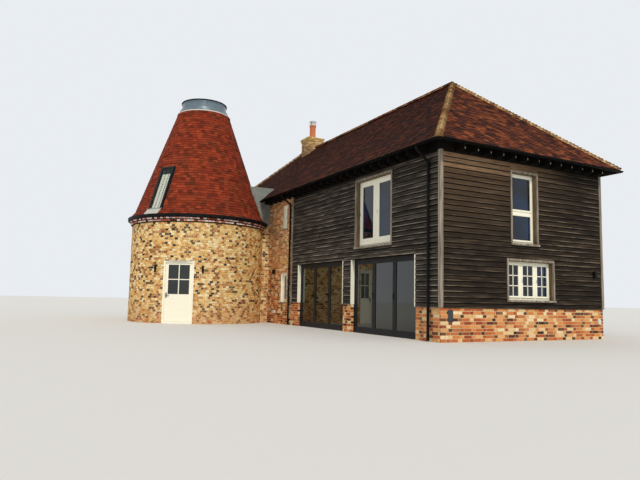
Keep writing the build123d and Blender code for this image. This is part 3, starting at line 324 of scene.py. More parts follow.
def add_node(tree, kind, inputs, out=0, stops=(), **settings):
    """Adds a node and returns one of its outputs.

    Inputs maps each socket to a value or to another node's output. Stops are a colour ramp's pairs of
    place and hex code, and the settings of a node with a ramp are the ramp's.
    """
    made = tree.nodes.new("ShaderNode" + kind)
    ramp = getattr(made, "color_ramp", None)
    for name, value in settings.items():
        setattr(ramp or made, name, value)
    for name, value in inputs.items():
        if isinstance(value, bpy.types.NodeSocket):
            tree.links.new(value, made.inputs[name])
        else:
            made.inputs[name].default_value = value
    for number, (spot, code) in enumerate(stops):
        element = ramp.elements[number] if number < len(ramp.elements) else ramp.elements.new(1.0)
        element.position = spot
        element.color = hex_colour(code)
    return made.outputs[out] if len(made.outputs) else None


def cloud(tree, size, detail=3, rough=0.55, where=None, stretch=(1, 1, 1)):
    """Uneven pattern with features of a size in millimetres, stretched along its axes."""
    if where is None:
        where = add_node(tree, "TexCoord", {}, "Object")
    where = add_node(tree, "VectorMath", {0: where, 1: [1 / s for s in stretch]}, operation="MULTIPLY")
    return add_node(tree, "TexNoise", {"Vector": where, "Scale": 1 / (size * MM), "Detail": detail,
                                       "Roughness": rough})


def tint(tree, colour, code, value, start, end, most, kind="MIX"):
    """Blends a colour in, from none where a value is at start to most where it is at end."""
    share = add_node(tree, "MapRange", {0: value, 1: start, 2: end, 4: most})
    return add_node(tree, "Mix", {0: share, 6: colour, 7: hex_colour(code)}, 2, data_type="RGBA",
                    blend_type=kind)


def product(tree, value, rows):
    """Multiplies a value by others, each mapped from one range to another and held at its ends."""
    for other, start, end, least, most in rows:
        share = add_node(tree, "MapRange", {0: other, 1: start, 2: end, 3: least, 4: most})
        value = add_node(tree, "Math", {0: value, 1: share}, operation="MULTIPLY")
    return value


def new_finish(name):
    """Empty material and its nodes."""
    material = bpy.data.materials.new(name)
    material.use_nodes = True
    material.node_tree.nodes.clear()
    return material, material.node_tree


def shaded(material, inputs, relief=None, depth=0.0):
    """Gives a material its shader; relief is a pattern, and depth its real depth in millimetres."""
    tree = material.node_tree
    if relief is not None:
        inputs["Normal"] = add_node(tree, "Bump", {"Height": relief, "Distance": depth * MM})
    add_node(tree, "OutputMaterial", {"Surface": add_node(tree, "BsdfPrincipled", inputs)})
    return material


def axis_of(tree, axis, where=None):
    """One coordinate of a place on the piece, or of its UV."""
    if where is None:
        where = add_node(tree, "TexCoord", {}, "Object")
    return add_node(tree, "SeparateXYZ", {0: where}, axis)


def fired_clay(name, tones, mottle=0.5, patch=None, patch_size=700, rough=0.85, grit=6, fade=None,
               speck=0.3):
    """Brick or tile: one tone a piece, mottled by the firing, with larger patches, mostly of weather.

    Tones run from pale to burnt. Patch is a colour and its amount; on the kiln's mortar and the corbels' bed
    it is painted shade. Fade is a colour, the heights between which it comes in, and its amount.
    """
    material, tree = new_finish(name)
    shade = add_node(tree, "Attribute", {}, "Fac", attribute_name="shade")
    stops = [(number / len(tones), code) for number, code in enumerate(tones)]
    colour = add_node(tree, "ValToRGB", {0: shade}, stops=stops, interpolation="CONSTANT")
    colour = tint(tree, colour, "#8A7868", cloud(tree, 40, 5, 0.65), 0.42, 0.72, mottle, "MULTIPLY")
    colour = tint(tree, colour, "#E8DCC4", cloud(tree, 14, 3, 0.6), 0.62, 0.75, speck)
    if patch:
        colour = tint(tree, colour, patch[0], cloud(tree, patch_size, 5, 0.6), 0.46, 0.66, patch[1])
    if fade:
        code, start, end, amount = fade
        ragged = {0: axis_of(tree, "Z"), 1: cloud(tree, 350, 4, 0.6)}
        level = add_node(tree, "Math", ragged, operation="ADD")
        colour = tint(tree, colour, code, level, start + 0.5, end + 0.5, amount)
    inputs = {"Base Color": colour, "Roughness": rough, "Specular IOR Level": 0.12}
    return shaded(material, inputs, cloud(tree, grit, 5, 0.7), 1.5)


def kept_dry(tree, fine):
    """How far the end wall's boards have kept their new colour: most at the front corner, under the eaves."""
    strips = [product(tree, 1.0, [(axis_of(tree, "Z"), EAVES_Z - foot, EAVES_Z - head, 0.0, most)])
              for foot, head, most in ((0.62, 0.45, 0.5), (2.4, 0.6, 0.14))]
    kept = add_node(tree, "Math", dict(enumerate(strips)), operation="ADD")
    return product(tree, kept, (
        (axis_of(tree, "Y"), 1.6, -1.6, 0.0, 1.0),
        (axis_of(tree, "X"), HALF_LENGTH - 0.1, HALF_LENGTH, 0.0, 1.0),
        (fine, 0.35, 0.55, 0.0, 1.0),
    ))


def sawn_timber(name, dark, light, grey, wear_and_highlight=None, fresh=None, pale_edge_least=0.5):
    """Timber whose grain follows the boards' own UV, or else stands upright.

    The colour wear_and_highlight is that of a board's pale lower edge, partly weathering and partly a painted
    highlight where the light catches it; pale_edge_least is its share where it is weakest, and fresh the
    colour of the boards kept dry under the eaves of the end wall.
    """
    material, tree = new_finish(name)
    where = add_node(tree, "UVMap", {}, "UV", uv_map="grain") if wear_and_highlight else None
    fine, broad = [
        cloud(tree, size, detail, rough, where, (length, 1, 1) if wear_and_highlight else (1, 1, length))
        for size, detail, rough, length in ((10, 5, 0.65, 40), (60, 4, 0.6, 12))
    ]
    colour = add_node(tree, "ValToRGB", {0: broad}, stops=[(0.32, dark), (0.52, light), (0.74, grey)])
    colour = tint(tree, colour, dark, fine, 0.5, 0.72, 0.75)
    colour = tint(tree, colour, grey, fine, 0.5, 0.3, 0.6)
    if wear_and_highlight:
        shade = add_node(tree, "Attribute", {}, "Fac", attribute_name="shade")
        colour = tint(tree, colour, dark, shade, 0.0, 1.0, 0.75)
        if fresh:
            colour = tint(tree, colour, fresh, kept_dry(tree, fine), 0.0, 1.0, 1.0)
        rise = axis_of(tree, "Y", where)
        # Pale lower edge of each board: partly weathering, partly a painted highlight where the light catches
        # it
        edge = product(tree, 1.0, (
            (rise, 12 * MM, 26 * MM, 1.0, 0.0), (broad, 0.42, 0.66, 0.1, 0.75),
            (cloud(tree, 1500, 2), 0.42, 0.58, pale_edge_least, 1.0),
        ))
        colour = tint(tree, colour, wear_and_highlight, edge, 0.0, 1.0, 1.0)
        # Shadow of the board above, where it laps this one
        colour = tint(tree, colour, "#0A0807", rise, 90 * MM, 108 * MM, 0.95)
    return shaded(material, {"Base Color": colour, "Roughness": 0.8, "Specular IOR Level": 0.1}, fine, 2.0)


def coated(name, code, wear_and_highlight, rough=0.45, wear=0.25, metallic=0.0, size=120, depth=0.3, coat=0.0,
           sheen=0.5):
    """Paint, metal or plastic with slight unevenness in colour and surface."""
    material, tree = new_finish(name)
    uneven = cloud(tree, size, 5, 0.6)
    return shaded(material, {
        "Base Color": tint(tree, hex_colour(code), wear_and_highlight, uneven, 0.35, 0.75, wear),
        "Roughness": product(tree, 1.0, [(uneven, 0.3, 0.7, rough - 0.06, rough + 0.08)]),
        "Metallic": metallic, "Coat Weight": coat, "Specular IOR Level": sheen,
    }, cloud(tree, 25), depth)


def glazing(name, code, cover, mirror):
    """Float glass whose dark colour paints the shade of the room behind it; mirror is the index of its
    reflecting face.
    """
    material, tree = new_finish(name)
    return shaded(material, {
        "Base Color": tint(tree, hex_colour(code), "#0A0E12", cloud(tree, 900, 2), 0.35, 0.65, 1.0),
        "Roughness": 0.02, "Specular IOR Level": 0.1, "Alpha": cover, "Coat Weight": 1.0,
        "Coat Roughness": 0.02, "Coat IOR": mirror,
    }, cloud(tree, 300, 2), 0.5)


# Hand-pressed yellow stock brick of the kiln: buff and straw, some burnt black in the clamp
KILN_BRICK = fired_clay("stock_brick_yellow", [
    "#FAEABC", "#F6DEA6", "#F2D494", "#F0CE8A", "#EECA82", "#EAC278", "#E6BA70", "#E2B066", "#DAA45A",
    "#D2944E", "#B87840", "#9A6438", "#765032", "#563E2A", "#3C2E22",
], 0.25, ("#EACA84", 0.15), 900, fade=("#C48454", 0.9, 0.0, 0.55))
# Pale lime mortar of the kiln, its joints wide, with dark patches: painted shade in the hollows where it has
# fallen out of them
KILN_MORTAR = fired_clay("lime_mortar_pale", ["#F6EACA", "#F6EACA"], 0.2, ("#2E2218", 1.0), 130,
                         rough=0.95, grit=4)
# Red multi stock brick of the barn: orange with pale and burnt faces, paler up the wall
BARN_BRICK = fired_clay("stock_brick_red", [
    "#F2DEB4", "#EACC9A", "#E4B67C", "#E0A264", "#DA9054", "#D28248", "#C8703E", "#BE6438", "#B25832",
    "#9A4A2E", "#783E2A", "#5A342A", "#422C26",
], 0.3, ("#D8AC7C", 0.22), 600, fade=("#F4D09A", 0.9, 2.4, 0.24))
# Brown brick of the chimney, green and gold with lichen at its head
CHIMNEY_BRICK = fired_clay("stock_brick_chimney", [
    "#E4CCA0", "#D0AA78", "#BC9060", "#A87C50", "#946844", "#80563A", "#644430", "#40302A",
], 0.5, ("#B09060", 0.35), 220, fade=("#D6B654", 7.45, 7.8, 0.55))
# Header courses of the kiln's corbels, pink and white
CORBEL_BRICK = fired_clay("stock_brick_corbel", [
    "#FFF6EE", "#FAE8DC", "#F4D8CC", "#ECC4B4", "#D89C8C", "#B46858", "#84443C", "#5C342E",
], 0.2)
# Bed of the corbels, nearly black: painted shade under the oversailing courses
CORBEL_BED = fired_clay("stock_brick_painted_shade", ["#2A1A18", "#2A1A18"], 0.5, ("#1C1412", 0.6), 90, speck=0.0)
# Lime mortar, struck flush and weathered
MORTAR = fired_clay("lime_mortar", ["#E8D4A6", "#E8D4A6"], 0.3, ("#CCB484", 0.5), 400, rough=0.95, grit=4)
# Plain clay tile of the barn roof, dark brown red
BARN_TILE = fired_clay("clay_tile_brown", [
    "#683622", "#582C1B", "#4C2518", "#462216", "#3F1F14", "#361B13", "#2C1611", "#221311",
], 0.45, ("#3A2018", 0.35), 1200, speck=0.04)
# The same tile on the near hip, lighter and more orange: painted sunlight on that slope
SUNLIT_HIP_TILE = fired_clay("clay_tile_painted_sunlit", [
    "#94522E", "#7F4226", "#703922", "#63311E", "#572C1C", "#4C2619", "#3F1E17", "#301915",
], 0.45, ("#5A3020", 0.4), 700, speck=0.06)
# Plain clay tile of the kiln roof, brighter orange red
KILN_TILE = fired_clay("clay_tile_red", [
    "#A14429", "#993F27", "#933B23", "#8D3821", "#89351F", "#83321E", "#7A2F1D", "#682A1B",
], 0.5, ("#54341E", 0.5), 330, speck=0.06)
# Bonnets on the hips, tan with lichen
BONNET = fired_clay("clay_tile_lichened", [
    "#DCC094", "#D2B282", "#C6A270", "#B68E5E", "#A07A52", "#846244",
], 0.4, ("#BCA074", 0.4), 160)
# Half-round ridge tiles, orange brown
RIDGE_TILE = fired_clay("clay_ridge_tile", [
    "#B07C54", "#A06840", "#945834", "#84482C", "#743C24", "#5C3020",
], 0.4, ("#9C7E48", 0.35), 200)
# Feather-edged softwood boards, stained black, their lower edges pale: partly silvered by the weather, partly
# a painted highlight
BOARD = sawn_timber("stained_weatherboard", "#15110E", "#302822", "#544838", "#988A74", "#CCA47C", 0.3)
# The same boards on the front, more silvered, and painted lighter to make up for the weaker light on the
# front wall
SILVERED_LIT_BOARD = sawn_timber("silvered_lit_weatherboard", "#1C1A17", "#463F38", "#7C7468", "#BAB0A0")
# Oak of the reveal linings and the upper floor, brown grey
OAK = sawn_timber("weathered_oak", "#4A3C2C", "#6E5C46", "#98866C")
# Pale oak of the corner boards, surrounds and sills, silvered
SILVER_OAK = sawn_timber("silvered_oak", "#5C5246", "#8E8476", "#BCB2A2")
# Rafter feet, sarking and the wall behind the boards: dark stained, and near black as painted shade under the
# eaves
DARK_OAK_AND_SHADE = sawn_timber("stained_oak_and_painted_shade", "#0C0A09", "#161310", "#221D19")
# Brushed joinery paint, cream with a little green
CREAM = coated("joinery_paint_cream", "#FAF8E4", "#EAE8D0", rough=0.4, depth=0.2)
# White gloss paint of the kiln door and linings
WHITE = coated("joinery_paint_white", "#FAF7E4", "#F0ECD8", rough=0.4, depth=0.2)
# Powder coat on the folding doors, anthracite
ANTHRACITE = coated("powder_coat_anthracite", "#15191C", "#1E2226", rough=0.5, depth=0.1, sheen=0.25)
# Gutter paint over cast iron, black
GUTTER = coated("cast_iron_black", "#070709", "#0E0E10", rough=0.6, sheen=0.15)
# Milled lead sheet, dull blue grey with a green patina
LEAD = coated("milled_lead", "#7C8280", "#A0A898", rough=0.6, wear=0.8, metallic=0.2, size=260, depth=1.2)
# Fresh lead of the window apron and the flashings, paler
NEW_LEAD = coated("new_lead", "#B4B4AC", "#D0CCC0", rough=0.55, wear=0.6, metallic=0.1, depth=0.8)
# Lead and mortar fillet at the drum's foot, pinkish white
PALE_LEAD = coated("lead_fillet", "#D8C4BC", "#E8DCD4", rough=0.7, wear=0.8, size=90, depth=1.0)
# Rolled zinc of the lantern drum
ZINC = coated("rolled_zinc", "#6E7C84", "#8C979C", rough=0.22, wear=0.6, metallic=0.9, size=300)
# Stainless and galvanised fittings
STEEL = coated("satin_steel", "#C8C8C8", "#A8A8A8", rough=0.3, metallic=0.9)
# Fired terracotta of the pot
TERRACOTTA = fired_clay("terracotta", ["#D0805A", "#D0805A"], 0.2, ("#B06844", 0.4), 200, rough=0.8, grit=3)
# Poured concrete floor
CONCRETE = coated("floor_concrete", "#A8A49C", "#8C8880", rough=0.8, wear=0.6, size=500, depth=0.8)
# Moulded white plastic boxes and plates
PLASTIC = coated("moulded_plastic_pale", "#DCDAD0", "#C4C2B8", rough=0.4)
# Slate-coloured enamel of the house plate, left bare
ENAMEL = coated("enamel_dark", "#22262A", "#30343A", rough=0.25, coat=0.4)
# Double glazing, its dark blue colour painted: the shade of the rooms behind and a reflection of blue sky
GLASS = glazing("window_glass", "#102C4E", 0.9, 1.4)
# Coated glass of the doors, reflecting more
DOOR_GLASS = glazing("door_glass", "#1A2010", 0.92, 1.6)
# Clear glass over the blind of the roof window and over the lantern
CLEAR_GLASS = glazing("clear_glass", "#8C9C9C", 0.06, 1.3)
# Cotton of the blind in the roof window
BLIND = coated("blind_cotton", "#D6DACA", "#C4CABA", rough=0.9, size=60, depth=0.5)


# Walls

# Share of burnt bricks: long faces and headers in bond, the kiln's headers, its corbels
BURNT_LONG, BURNT_HEADER, BURNT_KILN, BURNT_CORBEL = 0.18, 0.45, 0.23, 0.3


def jitter(rng, most=2):
    """Random unevenness of up to so many millimetres either way."""
    return rng.uniform(-most, most) * MM


def clay_tone(rng, dark):
    """Place on a run of tones from pale to burnt; dark is the share of burnt pieces."""
    if rng.random() < dark:
        return rng.uniform(0.6, 1.0)
    return rng.uniform(0.0, 0.7)


def lay_bricks(bm, face, bounds, rng, holes=(), proud=6 * MM, depth=34 * MM, headers=False):
    """Bricks in Flemish bond, or all headers, over a rectangle of a wall face, cut round its holes."""
    left, right, foot, head = bounds
    sizes = bpy.context.scene.oast_bricks
    long, short, joint = sizes.width if headers else sizes.length, sizes.width, sizes.joint
    courses = max(1, round((head - foot) / (sizes.height + joint)))
    gauge = (head - foot) / courses
    for course in range(courses):
        bed = foot + course * gauge + joint / 2
        spot = left - (0.0 if course % 2 else (long + joint) * 0.75)
        number = course % 2
        bricks = []
        while spot < right:
            width = long if number % 2 else short
            a, b = max(spot, left), min(spot + width, right)
            if b - a > LEAST:
                bricks.append((a, b, bed, bed + gauge - joint))
            spot += width + joint
            number += 1
        row = new_piece()
        for rect in without(bricks, holes):
            lift = proud + jitter(rng)
            tone = clay_tone(rng, BURNT_LONG if rect[1] - rect[0] > short else BURNT_HEADER)
            panel(row, face, rect, lift - depth, lift, tone)
        gather(bm, row)


def lay_reveals(bm, opening, depth, rng, head=None):
    """Bricks on the two sides of an opening in the front wall, as far in as its frame."""
    origin, along, out = FRONT
    left, right, foot, top = opening
    for edge, way in ((left, along), (right, -along)):
        side = UP.cross(way)
        ends = sorted((0.0, -side.dot(out) * depth))
        lay_bricks(bm, (origin + along * edge, side, way), (*ends, foot, head or top), rng,
                   proud=4 * MM, depth=12 * MM)


class BrickSizes(bpy.types.PropertyGroup):
    length: FloatProperty(
        name="Brick length", description="Long side of a brick", default=215 * MM, unit="LENGTH")
    width: FloatProperty(
        name="Brick width", description="Short side of a brick", default=102 * MM, unit="LENGTH")
    height: FloatProperty(
        name="Brick height", description="Height of a brick", default=61 * MM, unit="LENGTH")
    joint: FloatProperty(
        name="Joint", description="Thickness of the mortar", default=14 * MM, unit="LENGTH")


class OAST_OT_kiln_bricks(bpy.types.Operator):
    """Lays the bricks of the round kiln, all headers so that they follow its curve"""
    bl_idname = "oast.kiln_bricks"
    bl_label = "Kiln bricks"

    def execute(self, context):
        rng = random.Random(11)
        sizes = context.scene.oast_bricks
        depth = 40 * MM
        courses = round(WALL_TOP / (sizes.height + sizes.joint))
        gauge = WALL_TOP / courses
        count = round(math.tau * KILN_RADIUS / (sizes.width + sizes.joint))
        turn, joint = math.tau / count, sizes.joint / KILN_RADIUS
        half_door = math.asin(DOOR_HALF / KILN_RADIUS)
        half_link = math.asin((LINK_X[1] - KILN.x) / KILN_RADIUS) - 0.02
        bm = new_piece()
        for course in range(courses):
            foot = course * gauge
            # Angles are measured from the door, which a full turn reaches again
            doorway = [(way - half_door, way + half_door, -1, 2) for way in (0.0, math.tau)]
            if foot + gauge * 0.3 >= corners("kiln_door_head")[0].z:
                doorway = []
            row = new_piece()
            for number in range(count):
                start = (number + course % 2 / 2) * turn + joint / 2
                end = start + turn - joint
                from_link = math.remainder(DOOR_ANGLE + (start + end) / 2 - math.pi / 2, math.tau)
                if abs(from_link) < half_link:
                    continue
                for a, b, _, _ in without([(start, end, 0, 1)], doorway, joint):
                    angle = DOOR_ANGLE + (a + b) / 2
                    reach = KILN_RADIUS + 6 * MM + jitter(rng) - depth / 2
                    size = (2 * reach * math.sin((b - a) / 2), gauge - sizes.joint, depth)
                    slab(row, kiln_point(angle, reach, foot + gauge / 2), radial(angle), size,
                         clay_tone(rng, BURNT_KILN))
            gather(bm, row)
        finish_piece(bm, "kiln_bricks", KILN_BRICK)
        return {"FINISHED"}


class OAST_OT_corbels(bpy.types.Operator):
    """Lays the two oversailing courses of headers under the kiln eaves"""
    bl_idname = "oast.corbels"
    bl_label = "Corbel courses"

    def execute(self, context):
        rng = random.Random(12)
        sizes = context.scene.oast_bricks
        gauge, height, depth = 75 * MM, 44 * MM, 112 * MM
        bm = new_piece()
        for course, oversail in enumerate((59 * MM, 94 * MM)):
            radius = KILN_RADIUS + oversail
            count = round(math.tau * radius / (sizes.width + sizes.joint))
            level = corners("kiln_corbels")[0].z + (course + 1) * gauge - height / 2
            row = new_piece()
            for number in range(count):
                angle = math.tau * (number + 0.5 * course) / count
                spot = kiln_point(angle, radius - depth / 2 + jitter(rng), level)
                # None where the barn's front wall or the link is in the way
                by_wall = spot.y > -HALF_WIDTH - 60 * MM and abs(spot.x - KILN.x) < 1.3
                if not by_wall and not (KILN.y < spot.y and LINK_X[0] < spot.x < LINK_X[1]):
                    slab(row, spot, radial(angle), (sizes.width, height, depth),
                         clay_tone(rng, BURNT_CORBEL))
            gather(bm, row)
        finish_piece(bm, "corbel_bricks", CORBEL_BRICK)
        return {"FINISHED"}


class OAST_OT_barn_bricks(bpy.types.Operator):
    """Lays the bricks of the plinths, the brick half of the barn, the link and the chimney"""
    bl_idname = "oast.barn_bricks"
    bl_label = "Barn bricks"

    def execute(self, context):
        rng = random.Random(13)
        wall_head = EAVES_Z + 0.1
        left, right, foot, crown = on_face(FRONT, corners("window_arch"))
        middle, half, rise, strips = (left + right) / 2, (right - left) / 2, 0.13, 9
        spring = crown - rise
        curve = (half ** 2 + rise ** 2) / (2 * rise)
        # Wall bricks stop at the arch over the window: strips up to its crown, then all below them
        hidden = []
        for step in range(strips):
            level = spring + rise * step / strips
            reach = math.sqrt(max(0.0, curve ** 2 - (level - crown + curve) ** 2))
            hidden.append((middle - reach, middle + reach, level, level + rise / strips + 1 * MM))
        hidden += [(left, right, foot, spring), (*LINK_X, 0, LINK_TOP)]
        end = HALF_WIDTH + 6 * MM
        bm = new_piece()
        for face, start, stop, head in (
            (NEAR, -end, end, PLINTH_TOP), (FRONT, JOINT_X, HALF_LENGTH, PLINTH_TOP),
            (REAR, -HALF_LENGTH, -JOINT_X, PLINTH_TOP), (FRONT, FAR_X, JOINT_X, wall_head),
            (REAR, -JOINT_X, -FAR_X, wall_head), (FAR, -end, end, wall_head),
        ):
            holes = rectangles(face, "casement_frames", "folding_frames")
            lay_bricks(bm, face, (start, stop, 0, head), rng, holes + (hidden if face is FRONT else []))
        for opening in rectangles(FRONT, "casement_frames"):
            if opening[1] < JOINT_X:
                lay_reveals(bm, opening, 0.1, rng)
        for opening in rectangles(FRONT, "folding_frames"):
            lay_reveals(bm, opening, 0.08, rng, PLINTH_TOP)
        finish_piece(bm, "barn_bricks", BARN_BRICK)

        bm = new_piece()
        for x, (_, along, out) in ((LINK_X[1], NEAR), (LINK_X[0], FAR)):
            reach = KILN.y + math.sqrt(KILN_RADIUS ** 2 - (x - KILN.x) ** 2)
            ends = sorted((along.y * reach, along.y * -HALF_WIDTH))
            lay_bricks(bm, (X * x, along, out), (*ends, 0, LINK_WALL_TOP), rng, headers=True)
        finish_piece(bm, "link_bricks", KILN_BRICK)

        bm = new_piece()
        centre = (STACK_LOW + STACK_HIGH) / 2
        oversail = 75 * MM
        corbel = STACK_HIGH.z - 2 * oversail
        half_stack = (STACK_HIGH.x - STACK_LOW.x) / 2
        for low, high, back in ((STACK_LOW.z, corbel, 44 * MM), (corbel, corbel + oversail, 22 * MM),
                                (corbel + oversail, STACK_HIGH.z, 0.0)):
            side = half_stack - back
            for _, along, out in (FRONT, REAR, NEAR, FAR):
                origin = Vector((centre.x, centre.y, 0)) + out * side
                bounds = (-side - 4 * MM, side + 4 * MM, low, high)
                lay_bricks(bm, (origin, along, out), bounds, rng, proud=4 * MM)
        finish_piece(bm, "chimney_bricks", CHIMNEY_BRICK)

        bm = new_piece()
        count, size = 16, (36 * MM, 100 * MM, 30 * MM)
        centre = Vector((middle, -HALF_WIDTH - 3 * MM, crown - curve))
        for step in range(count):
            turn = math.asin(half / curve) * (2 * (step + 0.5) / count - 1)
            out = X * math.sin(turn) + UP * math.cos(turn)
            along = X * math.cos(turn) - UP * math.sin(turn)
            slab(bm, centre + out * (curve - size[1] / 2), (along, out, -Y), size,
                 rng.uniform(0.2, 0.7))
        finish_piece(bm, "arch_bricks", KILN_BRICK)
        bm = new_piece()
        lay_bricks(bm, FRONT, (left, right, foot, spring + 30 * MM), rng, proud=2 * MM)
        finish_piece(bm, "arch_infill", BARN_BRICK)
        return {"FINISHED"}


class BoardSizes(bpy.types.PropertyGroup):
    exposure: FloatProperty(
        name="Exposure", description="Height of a board that shows", default=125 * MM, unit="LENGTH")
    thickness: FloatProperty(
        name="Thickness", description="How far a board's foot stands over the next one",
        default=20 * MM, unit="LENGTH")
    longest: FloatProperty(
        name="Longest board", description="Length of the longest board", default=4.2, unit="LENGTH")


class OAST_OT_boards(bpy.types.Operator):
    """Laps the weatherboards over the boarded walls, under a dark band of painted eaves shade"""
    bl_idname = "oast.boards"
    bl_label = "Weatherboards"

    def execute(self, context):
        rng = random.Random(21)
        sizes = context.scene.oast_boards
        # How far the first board hangs over the plinth, how far each goes under the next, the gap
        # between board ends and the shortest board that may end a wall
        drip, lap, gap, shortest = 12 * MM, 14 * MM, 2 * MM, 0.6
        silvered, stained, eaves_shade = new_piece(), new_piece(), new_piece()
        head = corners("rafter_feet")[0].z + 10 * MM
        width = TRIM_WIDTH - (corners("corner_boards")[1].x - HALF_LENGTH)
        courses = round((head - PLINTH_TOP) / sizes.exposure)
        exposure = (head - PLINTH_TOP) / courses
        tilt = math.atan(sizes.thickness / exposure)
        for face, left, right in ((FRONT, JOINT_X + TRIM_WIDTH, HALF_LENGTH - width),
                                  (NEAR, width - HALF_WIDTH, HALF_WIDTH - width),
                                  (REAR, width - HALF_LENGTH, -JOINT_X - TRIM_WIDTH)):
            _, along, out = face
            trims = rectangles(face, "window_surrounds")
            trims += [(a, b, c, d + 20 * MM)
                      for a, b, c, d in rectangles(face, "casement_frames", "folding_frames")]
            trims += rectangles(face, "door_linings", "window_sills")
            # Dark band from the boards' head up under the eaves: painted shade of the eaves
            panel(eaves_shade, face, (left, right, head, EAVES_Z + 0.1), 0.0, 30 * MM)
            axes = (along, UP * math.cos(tilt) - out * math.sin(tilt),
                    out * math.cos(tilt) + UP * math.sin(tilt))
            for course in range(courses):
                foot = PLINTH_TOP - drip + course * exposure
                spot = left
                boards = []
                while spot < right:
                    length = rng.uniform(0.45, 1.0) * sizes.longest
                    end = right if spot + length > right - shortest else spot + length
                    boards.append((spot, end - gap, foot, foot + exposure + lap))
                    spot = end
                row = new_piece()
                for rect in without(boards, trims, 8 * MM):
                    sag = UP * jitter(rng)
                    spot = face_point(face, rect, (13 + rng.uniform(0, 2)) * MM) + sag
                    size = (rect[1] - rect[0], rect[3] - rect[2], 9 * MM)
                    slab(row, spot, axes, size, rng.random(), True)
                # Front boards go into the piece with the lighter finish, painted lighter for the weaker light
                # on the front
                gather(silvered if face is FRONT else stained, row)
        # Dark caps over the corner boards above the boards' head: painted shade of the eaves
        skin = Vector((3, 3, 0)) * MM
        for lowest, highest in islands("corner_boards"):
            if highest.z > head:
                block(eaves_shade, Vector((lowest.x, lowest.y, head)) - skin, highest + skin)
        finish_piece(eaves_shade, "eaves_shade_boards", DARK_OAK_AND_SHADE)
        finish_piece(stained, "weatherboards", BOARD)
        finish_piece(silvered, "front_weatherboards", SILVERED_LIT_BOARD)
        return {"FINISHED"}


# Roofs

class TileSizes(bpy.types.PropertyGroup):
    width: FloatProperty(
        name="Tile width", description="Width of a plain tile", default=165 * MM, unit="LENGTH")
    gauge: FloatProperty(
        name="Gauge", description="Length of a tile that shows", default=100 * MM, unit="LENGTH")
    thickness: FloatProperty(
        name="Tile thickness", description="Thickness of a tile", default=12 * MM, unit="LENGTH")


def lay_tile(bm, foot, axes, width, gauge, shade, lift):
    """One plain tile, its tail raised on the course below; axes are those of the roof."""
    along, up, out = axes
    thickness = bpy.context.scene.oast_tiles.thickness
    # The tail clears the tile below, and the head goes in under the course above
    tail, length = thickness * 1.15, gauge * 1.35
    tilt = math.atan(tail / gauge)
    rise = up * math.cos(tilt) - out * math.sin(tilt)
    lean = out * math.cos(tilt) + up * math.sin(tilt)
    middle = foot + rise * length / 2 + lean * thickness / 2 + out * (tail + lift)
    slab(bm, middle, (along, rise, lean), (width - 3 * MM, length, thickness), shade)


class OAST_OT_barn_tiles(bpy.types.Operator):
    """Lays the plain tiles on the four slopes of the barn"""
    bl_idname = "oast.barn_tiles"
    bl_label = "Barn roof tiles"

    def execute(self, context):
        rng = random.Random(31)
        sizes = context.scene.oast_tiles
        least, overhang = 20 * MM, 28 * MM
        slope = EAVES_Y / math.cos(PITCH)
        courses = round(slope / sizes.gauge)
        gauge = (slope + 20 * MM) / courses
        stack_half = (STACK_HIGH.x - STACK_LOW.x) / 2 - 30 * MM
        stack_foot = (EAVES_Y - stack_half) / math.cos(PITCH)
        link_head = (LINK_BACK + EAVES_Y) / math.cos(PITCH) + 40 * MM
        # The near hip takes the lighter tile, its colour painted sunlight on that slope
        for name, (_, along, out), half, finish in (
            ("front_tiles", FRONT, ROOF_X, BARN_TILE), ("rear_tiles", REAR, ROOF_X, BARN_TILE),
            ("near_hip_tiles", NEAR, EAVES_Y, SUNLIT_HIP_TILE), ("far_hip_tiles", FAR, EAVES_Y, BARN_TILE),
        ):
            up = UP * math.sin(PITCH) - out * math.cos(PITCH)
            axes = (along, up, UP * math.cos(PITCH) + out * math.sin(PITCH))
            origin = out * (ROOF_X + EAVES_Y - half) + UP * EAVES_Z
            holes = []
            if half == ROOF_X:
                middle = (STACK_LOW.x + STACK_HIGH.x) / 2 * along.x
                holes.append((middle - stack_half, middle + stack_half, stack_foot, slope + 1))
            if name == "front_tiles":
                holes.append((LINK_X[0] - 20 * MM, LINK_X[1] + 20 * MM, -1, link_head))
            bm = new_piece()
            for course in range(courses):
                s = course * gauge - overhang
                reach = half - max(0.0, (s + gauge / 2) * math.cos(PITCH)) + 10 * MM
                spot = -half - (sizes.width / 2 if course % 2 else 0.0)
                row = new_piece()
                while spot < half:
                    a, b = max(spot, -reach), min(spot + sizes.width, reach)
                    spot += sizes.width
                    if b - a < least:
                        continue
                    for left, right, foot, _ in without([(a, b, s, s + gauge)], holes, least):
                        place = origin + along * (left + right) / 2 + up * foot
                        lay_tile(row, place, axes, right - left, gauge, rng.random(), jitter(rng))
                gather(bm, row)
            finish_piece(bm, name, finish)
        return {"FINISHED"}


